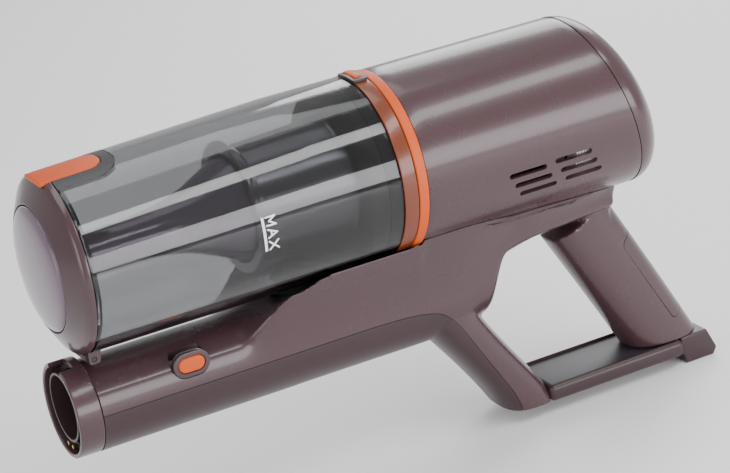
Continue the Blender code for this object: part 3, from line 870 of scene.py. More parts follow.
ALUMINIUM = Finish(
    "turned_aluminium", "aluminium", (206, 207, 209), 0.34, metallic=1.0, effect=Effect.BRUSHED
)
BRASS = Finish("contact_brass", "brass", (206, 168, 96), 0.26, metallic=1.0, effect=Effect.BRUSHED)
# The darker groove colour is painted shade between the turns of the winding.
WINDING = Finish(
    "copper_winding", "copper_steel", (176, 102, 58), 0.38, metallic=0.8, effect=Effect.STRIPED, grain=0.8,
    depth=0.7, groove=(70, 40, 26),
)
BOARD = Finish(
    "green_board", "board_green", (34, 92, 62), 0.35, effect=Effect.STRIPED, grain=1.6, depth=0.2,
    groove=(24, 68, 46),
)
CELL = Finish("cell_sleeve", "cell_wrap", (56, 94, 150), 0.3, coat=0.3)
# The darker groove colour is painted shade in the valleys of the pleats.
FILTER = Finish(
    "pleated_filter", "filter_white", (226, 224, 216), 0.85, effect=Effect.STRIPED, grain=1.8, depth=0.9,
    groove=(150, 148, 140),
)
PRINT = Finish("white_print", "strip_grey", (236, 236, 236), 0.5, depth=0.0, mottle=0.0)


# ---- placing pieces in the frame ----------------------------------------------------------------------
@dataclass
class Frame:
    """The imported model, and the place of the barrel's origin in it."""

    nodes: dict[str, bpy.types.Object]
    members: dict[str, str]
    origin: Vector = field(init=False)

    def __post_init__(self) -> None:
        """Reads the barrel's origin from the accent ring: on its axis, at its rear edge."""
        low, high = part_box("accent_ring")
        self.origin = Vector((high.x, (low.y + high.y) / 2.0, (low.z + high.z) / 2.0))

    def place(
        self, solid: Solid, finish: Finish, node: str, stands_in: bool = True, sharp: float = 34.0
    ) -> None:
        """Carries a solid into the frame, dresses it and lets it ride with a node's body.

        Args:
            solid: The piece, in barrel millimetres.
            finish: Its finish.
            node: The CAD node that it stands for, or beside which it rides.
            stands_in: Whether it replaces the node.
            sharp: Angle over which an edge stays sharp, in degrees.
        """
        item = solid.item
        item.data.transform(Matrix.Translation(self.origin) @ Matrix.Scale(MM, 4))
        item.data.shade_smooth()
        item.data.set_sharp_from_angle(angle=math.radians(sharp))
        item.data.materials.clear()
        item.data.materials.append(finish.material())
        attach(item, self.members[node])
        if stands_in:
            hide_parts(node)
        LOG.info("%s: %d faces, %s", item.name, len(item.data.polygons), finish.name)

    def dress(self, finish: Finish, *names: str) -> None:
        """Gives CAD nodes that keep their own mesh a finish.

        Args:
            finish: The finish.
            names: The nodes.
        """
        for name in names:
            mesh = self.nodes[name].data
            mesh.materials.clear()
            mesh.materials.append(finish.material())
            LOG.info("%s: kept, %s", name, finish.name)


# ---- barrel -------------------------------------------------------------------------------------------
@dataclass
class Barrel:
    """Motor housing, rear cap, accent ring and power button."""

    seam_at_axis: float = 127.0
    seam_slope: float = -0.244
    cap_depth: float = 24.0
    cap_power: float = 2.15
    vent_half_length: float = 11.5
    vent_half_height: float = 1.6
    vent_columns: tuple[tuple[float, float], ...] = ((59.7, 102.9), (87.9, 101.6))
    vent_row_step: tuple[float, float] = (3.7, 7.7)
    power_height: float = 6.0
    power_r: float = 8.2

    def seam(self, z: Array | float) -> Array | float:
        """Place of the slanted seam at a height: x = seam_at_axis + seam_slope z."""
        return self.seam_at_axis + self.seam_slope * z

    def housing(self) -> Solid:
        """A tube whose rear rim is cut on the slant, with its vents and the wire hole.

        Returns:
            The closed shell.
        """
        rows = 40
        share = np.linspace(0.0, 1.0, rows)[:, None]
        turn = math.tau * np.arange(SEGMENTS) / SEGMENTS
        skins = []
        for radius, edge in ((BARREL_R, 0.35), (BARREL_R - WALL, 0.0)):
            z = radius * np.cos(turn)
            x = GAP + share * (self.seam(z) - GAP)
            lip = edge * np.clip(1.0 - np.minimum(x - GAP, self.seam(z) - x) / 0.7, 0.0, 1.0) ** 2
            size = (radius - lip) / radius
            skins.append(np.stack([x, radius * np.sin(turn) * size, z * size], axis=-1))
        chain = np.concatenate([skins[0], skins[1][::-1]])
        housing = Solid("housing_shell", chain.reshape(-1, 3), grid_faces(2 * rows, SEGMENTS, True))
        for vent in self.vents():
            housing.boolean(vent)
        return housing.boolean(upright_rod("wire_hole", WIRE_X, -60.0, -40.0, WIRE_R))

    def vents(self) -> list[Solid]:
        """Cutters for two columns of three slots a side, each row a step further back and further round.

        Returns:
            The twelve cutters.
        """
        made = []
        for side in (1.0, -1.0):
            for x, angle in self.vent_columns:
                for row in range(3):
                    middle = x + self.vent_row_step[0] * row
                    turn = math.radians(angle + self.vent_row_step[1] * row)
                    out, up = (math.sin(turn), math.cos(turn)), (-math.cos(turn), math.sin(turn))

                    def place(u: Array, v: Array, w: float, m=middle, o=out, p=up, s=side) -> tuple:
                        """A slot square to the barrel's wall."""
                        return m + u, -s * (o[0] * w + p[0] * v), o[1] * w + p[1] * v

                    outline = stadium(self.vent_half_length, self.vent_half_height)
                    made.append(prism("vent", outline, (42.0, 56.0), place))
        return made

    def cap(self) -> Solid:
        """The rear cap: a slanted superellipsoid shell with the power button's hole.

        A ring at share s of the depth has the radius R (1 - s^p)^(1/p) and lies s depths behind the seam.

        Returns:
            The closed shell.
        """
        turn = math.tau * np.arange(SEGMENTS) / SEGMENTS
        skins = []
        for radius, depth in ((BARREL_R, self.cap_depth), (BARREL_R - WALL, self.cap_depth - WALL)):
            share = np.sin(np.linspace(0.0, math.pi / 2.0, 40))[:, None]
            scale = np.maximum(0.0, 1.0 - share**self.cap_power) ** (1.0 / self.cap_power)
            y, z = radius * scale * np.sin(turn), radius * scale * np.cos(turn)
            skins.append(np.stack([self.seam(z) + GAP + depth * share, y, z], axis=-1))
        chain = np.concatenate([skins[0][::-1], skins[1]])
        cap = Solid("rear_cap_shell", chain.reshape(-1, 3), grid_faces(len(chain), SEGMENTS, False))
        rear = self.seam_at_axis + self.cap_depth
        hole_r = self.power_r + 0.8
        return cap.boolean(rod_x("power_hole", rear - 20.0, rear + 8.0, hole_r, self.power_height, 64))

    def build(self, model: Frame) -> None:
        """Makes and places the barrel's pieces.

        Args:
            model: Where they are placed.
        """
        model.place(self.housing(), BODY, "motor_housing", sharp=30.0)
        model.place(self.cap(), BODY, "rear_cap")
        accent = ring("orange_ring", -5.8, 0.0, BARREL_R + 0.28, BARREL_R - 3.4, 0.9)
        model.place(accent, ORANGE, "accent_ring")
        rear = self.seam_at_axis + self.cap_depth
        outline = [(rear + 0.4, 0.0), (rear + 0.4, 7.2), (rear - 0.6, self.power_r)]
        outline += [(rear - 9.0, self.power_r), (rear - 9.0, 0.0)]
        button = turned("round_button", eased(outline, 0.6), self.power_height, 64, closed=False)
        model.place(button, CHARCOAL, "power_button")


# ---- dust cup -----------------------------------------------------------------------------------------
@dataclass
class DustCup:
    """The clear cup, its collar, separator, shroud, inner cone, latch housing and fill line."""

    front: float = -186.0
    rear: float = -14.6
    fill_x: float = -94.0
    fill_side: float = 90.5
    latch_notch: tuple[float, float, float, float] = (19.8, -190.0, -150.2, 14.0)
    latch_block: tuple[float, float, float, float] = (19.5, -185.9, -150.5, 14.0)
    latch_pocket: tuple[float, float, float, float] = (11.9, -190.0, -156.2, 9.2)
    window: tuple[float, float] = (-13.4, -8.3)
    window_half: float = 6.9
    ear_y: tuple[float, float] = (9.3, 12.5)
    letter_step: float = 6.5
    letter_size: tuple[float, float] = (4.4, 4.8)

    def cup(self) -> Solid:
        """A clear tube with the latch's notch on top and the inlet's port below, tapered to the lid.

        Returns:
            The closed shell.
        """
        rows = np.linspace(self.front + 0.8, self.rear - 0.8, 60)
        skin = [(x, BARREL_R) for x in rows[::-1]]
        outline = [(self.rear, BARREL_R - 0.6), *skin, (self.front, BARREL_R - 0.8)]
        outline += [(self.front, BARREL_R - WALL), *[(x, BARREL_R - WALL) for x in rows]]
        cup = turned("clear_cup", [*outline, (self.rear, BARREL_R - WALL)], segments=200)
        cup.boolean(prism("notch", latch_outline(*self.latch_notch), (30.0, 60.0), flat))
        cup.boolean(upright_rod("port", PORT_X, -60.0, -40.0, PORT_R))
        return cup.moved(drafted)

    def separator(self) -> Solid:
        """The dark stepped collar behind the shroud, with its moulded ribs.

        Returns:
            The closed ring.
        """
        outline = [(-8.0, 45.6), (-22.0, 45.6), (-22.2, 47.2), (-25.0, 47.2), (-25.4, 46.5), (-26.6, 46.5)]
        outline += [(-27.0, 47.2), (-31.7, 47.2), (-31.7, 31.9), (-29.5, 31.9), (-29.5, 43.6), (-8.0, 43.6)]
        return turned("separator_shell", rounded(outline, 0.5)).moved(drafted)

    def cone(self) -> Solid:
        """The inner tube that flares into the flange: its radii between knots, evened by a running mean.

        Returns:
            The open tube.
        """
        knots = ((-181.0, 11.5), (-140.0, 12.0), (-118.0, 16.0), (-98.0, 25.6), (-88.4, 29.4))
        x = np.linspace(-181.0, -88.4, 60)
        radius = np.interp(x, *np.array(knots).T)
        radius = np.convolve(np.pad(radius, 6, mode="edge"), np.ones(13) / 13.0, mode="valid")
        outer = list(zip(x[::-1].tolist(), radius[::-1].tolist()))
        inner = [(px, r - 1.6) for px, r in reversed(outer)]
        return turned("inner_cone", outer + inner, segments=96).moved(drafted)

    def shroud(self) -> Solid:
        """A conical sleeve with raised bands at its two ends.

        Returns:
            The open sleeve.
        """
        outline = [(-32.0, 33.5), (-33.6, 33.9), (-35.2, 33.4), (-84.0, 31.7), (-85.6, 32.1), (-88.0, 31.6)]
        outline += [(-88.0, 29.9), (-32.0, 31.9)]
        return turned("shroud_sleeve", rounded(outline, 0.4)).moved(drafted)

    def latch_housing(self) -> Solid:
        """The block round the lid latch, open at the front, with rounded edges.

        Returns:
            The block.
        """
        housing = prism("latch_block", latch_outline(*self.latch_block), (43.6, 52.0), flat)
        housing.boolean(rod_x("crown", -200.0, -140.0, BARREL_R - 0.1), Join.COMMON)
        housing.boolean(prism("pocket", latch_outline(*self.latch_pocket), (45.6, 60.0), flat))
        housing.boolean(rod_x("seal_space", -190.0, -182.2, 46.6))
        return housing.moved(drafted)

    def surround(self) -> Solid:
        """The black frame of the cup release, curved with the barrel.

        Returns:
            The frame.
        """
        frame_block = box("release_frame", (-15.2, -9.4, 40.0), (-6.4, 9.4, 60.0))
        frame_block.bevel(1.2, 3, 50.0)
        frame_block.boolean(rod_x("top", -20.0, 0.0, BARREL_R + 1.5), Join.COMMON)
        frame_block.boolean(rod_x("floor", -22.0, 2.0, BARREL_R + GAP))
        return frame_block.boolean(self.window_block())

    def collar(self) -> Solid:
        """The amber band with the release button's window."""
        band = ring("amber_band", -14.3, -6.1, BARREL_R - 0.02, 46.0, 0.7)
        return band.boolean(self.window_block())

    def window_block(self) -> Solid:
        """A cutter for the window of the cup release."""
        near, far = self.window
        return box("window", (near, -self.window_half, 40.0), (far, self.window_half, 60.0))

    def lug(self, side: float) -> Solid:
        """One ear of the lid's hinge under the cup.

        Args:
            side: 1 for the far side and -1 for the near one.

        Returns:
            The ear.
        """
        span = (side * self.ear_y[0], side * self.ear_y[1])
        outline = rounded([(-184.3, -55.9), (-178.5, -55.9), (-176.5, -45.0), (-184.3, -45.0)], 1.4)
        ear = prism("ear", outline, (min(span), max(span)), upright)
        ear.boolean(rod_x("cup_space", -190.0, -170.0, BARREL_R + GAP))
        return ear.boolean(cross_rod("pin_hole", (HINGE_X, HINGE_Z), 1.5, -20.0, 20.0)).moved(drafted)

    def fill_line(self) -> Solid:
        """A thin raised bar on the near side of the cup, from 80 to 101 degrees round from its top.

        Returns:
            The bar.
        """
        turn = np.radians(np.linspace(80.0, 101.0, 24))
        rings = []
        for radius in (BARREL_R + 0.02, BARREL_R + 0.12):
            for x in (self.fill_x - 0.7, self.fill_x + 0.7):
                rings.append(np.column_stack([np.full(24, x), -radius * np.sin(turn), radius * np.cos(turn)]))
        order = np.array([rings[0], rings[1], rings[3], rings[2]]).transpose(1, 0, 2)
        return lofted("fill_bar", order).moved(drafted)

    def fill_word(self) -> Solid:
        """The word MAX beside the fill bar: raised strokes wrapped round the cup, read down its side.

        Returns:
            The word, as one solid.
        """
        letters = (
            ((0, 0, 0, 1), (0, 1, 0.5, 0.3), (0.5, 0.3, 1, 1), (1, 1, 1, 0)),
            ((0, 0, 0.5, 1), (0.5, 1, 1, 0), (0.2, 0.36, 0.8, 0.36)),
            ((0, 0, 1, 1), (0, 1, 1, 0)),
        )
        word: Solid | None = None
        pen, size = 0.42, np.array(self.letter_size)
        half_length = self.letter_step + size[0] / 2.0
        for place, strokes in enumerate(letters):
            corner = np.array((self.letter_step * place - half_length, 0.0))
            for u0, v0, u1, v1 in strokes:
                start, end = corner + size * (u0, v0), corner + size * (u1, v1)
                along = pen * (end - start) / np.linalg.norm(end - start)
                side = np.array((-along[1], along[0]))
                corners = [start - along - side, end + along - side, end + along + side, start - along + side]
                stroke = prism("fill_letters", corners, (0.02, 0.12), flat)
                word = stroke if word is None else word.boolean(stroke, Join.UNITE)

        def wrap(points: Array) -> Array:
            """Lays the flat letters round the cup, at the angle fill_side + u / R.

            Args:
                points: Rows of u, v and height.

            Returns:
                Rows of x, y and z.
            """
            turn = math.radians(self.fill_side) + points[:, 0] / BARREL_R
            radius, x = BARREL_R + points[:, 2], self.fill_x + 2.0 + points[:, 1]
            return np.column_stack([x, -radius * np.sin(turn), radius * np.cos(turn)])

        return word.moved(wrap).moved(drafted)

    def build(self, model: Frame) -> None:
        """Makes and places the cup's pieces.

        Args:
            model: Where they are placed.
        """
        model.place(self.cup(), SMOKE, "dust_cup")
        model.place(self.collar(), AMBER, "cup_collar")
        model.place(self.separator(), SEPARATOR, "separator_body")
        model.place(ring("seam_seal", -21.7, -14.7, 47.3, 46.0, 0.3).moved(drafted), RUBBER, "cup_seal")
        model.place(self.shroud(), SMOKE_DARK, "shroud")
        flange = ring("shroud_rim", -90.8, -88.3, 36.0, 29.9, 0.8).moved(drafted)
        model.place(flange, SMOKE_DARK, "shroud_flange")
        model.place(self.cone(), VIOLET, "core_tube")
        model.place(self.latch_housing(), CHARCOAL, "latch_housing")
        model.place(self.surround(), CHARCOAL, "button_surround")
        for name, side in (("hinge_lug_left", 1.0), ("hinge_lug_right", -1.0)):
            ear = self.lug(side)
            ear.item.name = name.replace("hinge_lug", "lid_ear")
            model.place(ear, BODY, name)
        pin = cross_rod("lid_pin", (HINGE_X, HINGE_Z), 1.2, -12.4, 12.4)
        model.place(pin.moved(drafted), CHARCOAL, "hinge_pin")
        for piece in (self.fill_line(), self.fill_word()):
            model.place(piece, PRINT, "dust_cup", stands_in=False)


# ---- lid and latches ----------------------------------------------------------------------------------
@dataclass
class Lid:
    """The front cap with its inset disc and seal, the lid latch and the cup release button."""

    disc_rim: float = -197.2
    disc_rise: float = 4.4
    disc_r: float = 33.8
    lever: tuple[float, float, float, float] = (11.4, -192.2, -156.8, 8.8)
    key_low: tuple[float, float, float] = (-13.1, -6.6, 48.4)
    key_high: tuple[float, float, float] = (-8.6, 6.6, 52.15)

    def cap(self) -> Solid:
        """A ring with a bright rounded shoulder and a wide bevel, its hinge lug and the latch's flat.

        Returns:
            The closed shell.
        """
        outline = [(-186.3, 50.0), (-189.6, 49.2), (-191.4, 47.0), (-197.4, 35.3)]
        outline += [(-195.2, 34.9), (-192.4, 41.4), (-188.9, 46.6), (-186.3, 47.3)]
        cap = turned("lid_ring", rounded(outline, 0.9), segments=200)
        turn = math.pi * np.arange(13) / 12
        lug = [(-186.6, -46.5), (-188.3, -46.5), (-188.3, -50.0), (-184.4, -55.2), (-183.0, -55.6)]
        lug += zip((HINGE_X + 2.5 * np.sin(turn)).tolist(), (HINGE_Z - 2.5 * np.cos(turn)).tolist())
        lug += [(-186.0, -50.7)]
        cap.boolean(prism("lug", lug, (-9.0, 9.0), upright), Join.UNITE)
        cap.boolean(cross_rod("pin_hole", (HINGE_X, HINGE_Z), 1.5, -20.0, 20.0))
        return cap.boolean(box("tab_flat", (-200.0, -11.8, 46.5), (-180.0, 11.8, 60.0))).moved(drafted)

    def disc(self) -> Solid:
        """The inset disc: a shallow dome, x = rim - rise sin a at the radius r cos a.

        Returns:
            The closed disc.
        """
        turn = np.linspace(0.0, math.pi / 2.0, 28)
        x, radius = self.disc_rim - self.disc_rise * np.sin(turn), self.disc_r * np.cos(turn)
        outline = [(-194.8, 0.0), (-194.8, 34.2), (-195.1, 34.5), (-197.0, 34.5), (self.disc_rim, 34.3)]
        outline += zip(x.tolist(), radius.tolist())
        return turned("lid_disc", outline, closed=False).moved(drafted)

    def build(self, model: Frame) -> None:
        """Makes and places the lid's pieces and the latches.

        Args:
            model: Where they are placed.
        """
        model.place(self.cap(), LID, "front_cap", sharp=40.0)
        model.place(self.disc(), DISC, "cap_disc")
        seal = ring("lid_gasket", -188.2, -182.6, 46.2, 43.8, 0.3).moved(drafted)
        model.place(seal, RUBBER, "lid_seal")
        tab = prism("latch_lever", latch_outline(*self.lever), (46.9, 53.0), flat)
        tab.boolean(rod_x("crown", -200.0, -140.0, BARREL_R + 0.1), Join.COMMON)
        model.place(tab.bevel(0.5, 3).moved(drafted), ORANGE, "lid_latch_tab")
        release = box("release_key", self.key_low, self.key_high)
        model.place(release.bevel(0.8, 4), ORANGE, "cup_release_button")


# ---- lower body ---------------------------------------------------------------------------------------
@dataclass
class LowerBody:
    """Spine, belly, strut and grip: one soft form that is cut into its mouldings.

    The outlines are knots along X, as (x, value), and the paths are points (x, z) with half depths and
    half widths beside them.
    """

    wall: float = 3.6
    voxel: float = 1.2
    ease_turns: int = 5
    front: float = -186.5
    seam_z: float = -79.3
    loop_floor: float = -149.7
    strut_floor: float = -159.0
    base_near: float = 72.7
    strut_power: float = 2.8
    grip_power: float = 2.4
    strip_x: tuple[float, float] = (-74.0, -24.0)
    strip_half: float = 12.5
    button_at: tuple[float, float] = (-135.0, -66.6)
    ridge_y: Outline = ((-187, 22.5), (-104, 22.5), (-74, 33.5), (-55, 36.6), (110, 36), (140, 24))
    ridge_z: Outline = ((-187, -67.3), (-108, -67), (-74, -43), (-55, -36.9), (110, -36.5), (140, -43))
    shelf_z: Outline = ((-187, -56.8), (-112, -56.8), (-74, -52.2), (150, -52.2))
    bottom_z: Outline = ((-187, -106), (4, -106), (44, -101), (55, -68), (77, -62.7), (150, -61.9))
    middle_z: Outline = ((-187, -79.3), (20, -79.3), (64, -57), (150, -55))
    half_width: Outline = ((-187, 25.3), (10, 25.3), (64, 24), (150, 17))
    rise: Outline = ((-0.4, 0.0), (0.3, 3.4), (121, 3.4), (128, 1.0))
    strut_path: Outline = ((14.5, -82.0), (26.2, -102.0), (42.2, -125.0), (57.9, -149.0), (69.9, -170.0))
    strut_half: Outline = ((17.0, 23.0), (14.2, 22.5), (13.2, 21.0), (13.4, 20.5), (14.3, 20.5))
    grip_path: Outline = ((109.5, -62.0), (118.4, -78.0), (137.6, -113.0), (156.2, -148.0), (162.4, -160.0))
    grip_half: Outline = ((20.6, 17.0), (20.5, 16.6), (20.3, 16.5), (20.0, 17.0), (20.0, 17.5))

    def spine(self, name: str, stations: Array, inset: float) -> Solid:
        """The barrel's cradle as a loft of sections.

        Each section is half an ellipse below its widest line, sides whose half width grows with the square
        of the height up to a ridge, and a hollow shelf z = shelf + (ridge - shelf) (y / ridge_y)^2.

        Args:
            name: Name of the piece.
            stations: Places along X.
            inset: How far the surface is moved inwards.

        Returns:
            The closed solid.
        """
        rings = []
        for x in stations:
            lift = float(between(x, self.rise)) if inset == 0.0 else 0.0
            bottom, middle = float(between(x, self.bottom_z)) + inset, float(between(x, self.middle_z))
            width = float(between(x, self.half_width)) - inset
            ridge_y = float(between(x, self.ridge_y)) - inset
            ridge_z = float(between(x, self.ridge_z)) - 0.8 * inset + lift
            shelf = float(between(x, self.shelf_z)) - inset + lift
            turn = np.linspace(0.0, math.pi / 2.0, 16)
            below = np.column_stack([width * np.sin(turn), middle - (middle - bottom) * np.cos(turn)])
            t = np.linspace(0.0, 1.0, 11)[1:]
            side = np.column_stack([width + (ridge_y - width) * t**2, middle + (ridge_z - middle) * t])
            y = ridge_y * (1.0 - np.linspace(0.0, 1.0, 11)[1:])
            top = np.column_stack([y, shelf + (ridge_z - shelf) * (y / ridge_y) ** 2])
            half = np.vstack([below, side, top])
            whole = np.vstack([half * (-1.0, 1.0), half[-2:0:-1]])
            rings.append(np.column_stack([np.full(len(whole), x), whole]))
        return lofted(name, np.array(rings))

    def limb(self, name: str, path: Outline, halves: Outline, inset: float, power: float) -> Solid:
        """A limb of the handle: superellipse sections along a smooth path in the plane y = 0.

        Args:
            name: Name of the piece.
            path: Points (x, z), from top to bottom.
            halves: Half depth and half width at each point.
            inset: How far the surface is moved inwards.
            power: Power of the superellipse.

        Returns:
            The closed solid.
        """
        knots, sizes = np.array(path, float), np.array(halves, float) - inset
        z = np.linspace(knots[0, 1], knots[-1, 1], 40)
        bend = np.polynomial.Polynomial.fit(knots[:, 1], knots[:, 0], 3)
        x, slope = bend(z), bend.deriv()(z)
        depth = np.polynomial.Polynomial.fit(knots[:, 1], sizes[:, 0], 3)(z)
        width = np.polynomial.Polynomial.fit(knots[:, 1], sizes[:, 1], 3)(z)
        turn = math.tau * np.arange(72) / 72
        c, s = np.cos(turn), np.sin(turn)
        across = np.sign(c) * np.abs(c) ** (2.0 / power)
        over = np.sign(s) * np.abs(s) ** (2.0 / power)
        length = np.hypot(1.0, slope)[:, None]
        rings = np.stack(
            [
                x[:, None] + depth[:, None] * across / length,
                width[:, None] * over,
                z[:, None] - depth[:, None] * across * slope[:, None] / length,
            ],
            axis=-1,
        )
        return lofted(name, rings)

    def form(self) -> Solid:
        """The whole lower body, softened, hollowed and cut clear of its neighbours.

        Returns:
            The form, before it is cut into its mouldings.
        """
        stations = np.concatenate([[-196.0, -191.0], np.linspace(self.front, 128.0, 150)])
        form = self.spine("lower_form", stations, 0.0)
        form.boolean(self.limb("strut", self.strut_path, self.strut_half, 0.0, self.strut_power), Join.UNITE)
        form.boolean(self.limb("grip", self.grip_path, self.grip_half, 0.0, self.grip_power), Join.UNITE)
        form.boolean(self.tail(), Join.UNITE)
        form.soften(self.voxel, self.ease_turns)
        cutters = [
            self.spine("spine_hollow", np.linspace(-183.0, 100.0, 60), self.wall),
            self.limb("strut_hollow", self.strut_path, self.strut_half, self.wall, self.strut_power),
            self.limb("grip_hollow", self.grip_path[1:], self.grip_half[1:], self.wall, self.grip_power),
            box("front_trim", (-230.0, -60.0, -200.0), (self.front, 60.0, 0.0)),
            box("floor_trim", (self.base_near, -40.0, -190.0), (210.0, 40.0, self.loop_floor)),
            box("strut_trim", (20.0, -40.0, -190.0), (self.base_near, 40.0, self.strut_floor)),
            rod_x("barrel_space", -1.0, 170.0, BARREL_R + GAP),
            rod_x("cup_space", -230.0, 2.0, BARREL_R + GAP),
            upright_rod("wire_hole", WIRE_X, -62.0, -40.0, WIRE_R),
            upright_rod("duct_hole", PORT_X, -76.0, -45.0, 21.9),
            rod_x("nozzle_opening", -190.0, -180.0, BORE_R, BORE_Z),
            box("pawl_space", (-142.0, -5.0, -103.4), (-128.0, 5.0, -90.0)),
            self.slot_block("button_hole", 10.6, 7.1, -32.0, -14.0),
        ]
        for cutter in cutters:
            form.boolean(cutter)
        return form

    def tail(self) -> Solid:
        """The fillet behind the grip's root: a web whose rear edge is a quarter of an ellipse.

        Returns:
            The web.
        """
        turn = np.linspace(0.0, math.pi / 2.0, 12)
        curve = zip((136.0 - 10.0 * np.sin(turn)).tolist(), (-66.0 + 20.0 * np.cos(turn)).tolist())
        outline = [(112.0, -38.0), (136.5, -38.0), *curve, (118.0, -68.0)]
        return prism("tail", outline, (-15.0, 15.0), upright)

    def slot_block(self, name: str, half_length: float, half_height: float, near: float, far: float) -> Solid:
        """A block with round ends, square to the side of the spine at the wand release."""
        outline = np.array(stadium(half_length, half_height)) + self.button_at
        return prism(name, outline, (near, far), upright)

    def belly_line(self, shift: float) -> Outline:
        """Side outline of all that lies below the seam: along the spine, then down the front of the strut.

        Args:
            shift: How far the line is moved up and back.

        Returns:
            The closed outline.
        """
        seam = self.seam_z + shift
        front = [(-240.0, seam), (-24.0, seam), (-4.0, seam - 1.2), (10.0, seam - 4.5), (20.0, seam - 14.0)]
        down = [(35.5 + shift, -121.0), (54.0 + shift, -152.0), (62.0 + shift, -200.0), (-240.0, -200.0)]
        return rounded(front + down, 14.0, 8)

    def panel_line(self, grown: float) -> Outline:
        """Side outline of the grip's rear panel, with its lower corner rounded.

        Args:
            grown: How far the outline is grown.

        Returns:
            The closed outline.
        """
        corners = [(131.6 - grown, -83.7 + grown), (160.7 - grown, -137.7 - grown)]
        corners += [(196.0, -119.0 - grown), (167.0, -64.0 + grown)]
        return rounded(corners, 4.0, 6)

    def strip_block(self, grown: float) -> Solid:
        """The belly strip's block, grown at its sides to cut its pocket.

        Args:
            grown: How far it is grown.

        Returns:
            The block.
        """
        (near, far), half = self.strip_x, self.strip_half + grown
        return box("strip_block", (near - grown, -half, -112.0), (far + grown, half, -99.0))

    def build(self, model: Frame) -> None:
        """Makes and places the mouldings, the belly strip and the wand release.

        Args:
            model: Where they are placed.
        """
        form = self.form()
        belly, panel, strip = form.copy("belly_skin"), form.copy("grip_panel"), form.copy("clear_strip")
        form.item.name = "spine_skin"
        form.boolean(prism("below", self.belly_line(GAP), (-60.0, 60.0), upright))
        form.boolean(prism("behind", self.panel_line(GAP), (-60.0, 60.0), upright))
        belly.boolean(prism("within", self.belly_line(0.0), (-60.0, 60.0), upright), Join.COMMON)
        belly.boolean(self.strip_block(GAP))
        panel.boolean(prism("within", self.panel_line(0.0), (-60.0, 60.0), upright), Join.COMMON)
        strip.boolean(self.strip_block(0.0), Join.COMMON)
        model.place(form, BODY, "spine_shell")
        model.place(belly, BELLY, "belly_cover")
        model.place(panel, BODY, "grip_rear_panel")
        model.place(strip, STRIP, "belly_strip")
        bezel = self.slot_block("release_frame_ring", 10.3, 6.8, -24.9, -21.2)
        bezel.bevel(0.5).boolean(self.slot_block("bezel_hole", 7.8, 4.5, -32.0, -12.0))
        model.place(bezel, BODY, "release_bezel")
        button = self.slot_block("release_oval", 7.5, 4.2, -25.4, -21.4).bevel(1.3, 5)
        model.place(button, ORANGE, "wand_release_button")
        pawl = box("pawl_block", (-141.0, -4.0, -101.0), (-129.0, 4.0, -92.9)).bevel(0.6)
        model.place(pawl, CHARCOAL, "latch_pawl")


# ---- nozzle and base ----------------------------------------------------------------------------------
@dataclass
class Nozzle:
    """The collar that takes the wand, the duct up to the cup, its gasket and the contacts."""

    front: float = -200.0
    rear: float = -186.8
    height: float = -80.0
    radius: float = 25.6
    bend_r: float = 23.8
    duct_r: tuple[float, float] = (18.6, 17.3)
    contact_low: tuple[float, float, float] = (-196.0, -6.0, -101.6)
    contact_high: tuple[float, float, float] = (-190.4, 6.0, -97.5)

    def collar(self) -> Solid:
        """A round collar with a deep mouth, the bore set a little high in it and the key notch on top.

        Returns:
            The collar.
        """
        mouth = self.radius - WALL
        outline = [(self.rear, 0.0), (self.rear, self.radius), (self.front, self.radius), (self.front, mouth)]
        outline += [(-190.0, mouth), (-190.0, 0.0)]
        collar = turned("wand_collar", eased(outline, 0.9), self.height, closed=False)
        collar.boolean(rod_x("bore", -210.0, -180.0, BORE_R, BORE_Z))
        return collar.boolean(box("notch", (-210.0, -8.0, -60.0), (-192.0, 8.0, -50.0)))

    def duct(self) -> Solid:
        """An open tube along the bore that turns a quarter circle up to the cup's port.

        Returns:
            The tube.
        """
        turn = np.linspace(0.0, math.pi / 2.0, 20)
        x = PORT_X - self.bend_r + self.bend_r * np.sin(turn)
        z = BORE_Z + self.bend_r * (1.0 - np.cos(turn))
        path = [(place, BORE_Z) for place in (-198.5, -197.9, -160.0, -120.0)]
        duct = tube("wand_duct", [*path, *zip(x.tolist(), z.tolist()), (PORT_X, -52.4)], *self.duct_r)
        return duct.boolean(box("pawl_slot", (-141.6, -4.6, -105.0), (-128.4, 4.6, -90.0)))

    def build(self, model: Frame) -> None:
        """Makes and places the nozzle's pieces.

        Args:
            model: Where they are placed.
        """
        model.place(self.collar(), BODY, "nozzle_collar", sharp=40.0)
        model.place(self.duct(), BELLY, "inlet_duct")
        gasket = upright_rod("duct_seal", PORT_X, -52.0, -44.0, self.duct_r[0])
        gasket.boolean(upright_rod("way", PORT_X, -60.0, -40.0, PORT_R))
        model.place(gasket.boolean(rod_x("cup_space", -190.0, 0.0, BARREL_R + GAP)), RUBBER, "duct_gasket")
        block = box("contact_holder", self.contact_low, self.contact_high).bevel(0.5)
        model.place(block, CHARCOAL, "contact_block")
        model.dress(BRASS, "contact_pin_left", "contact_pin_right")


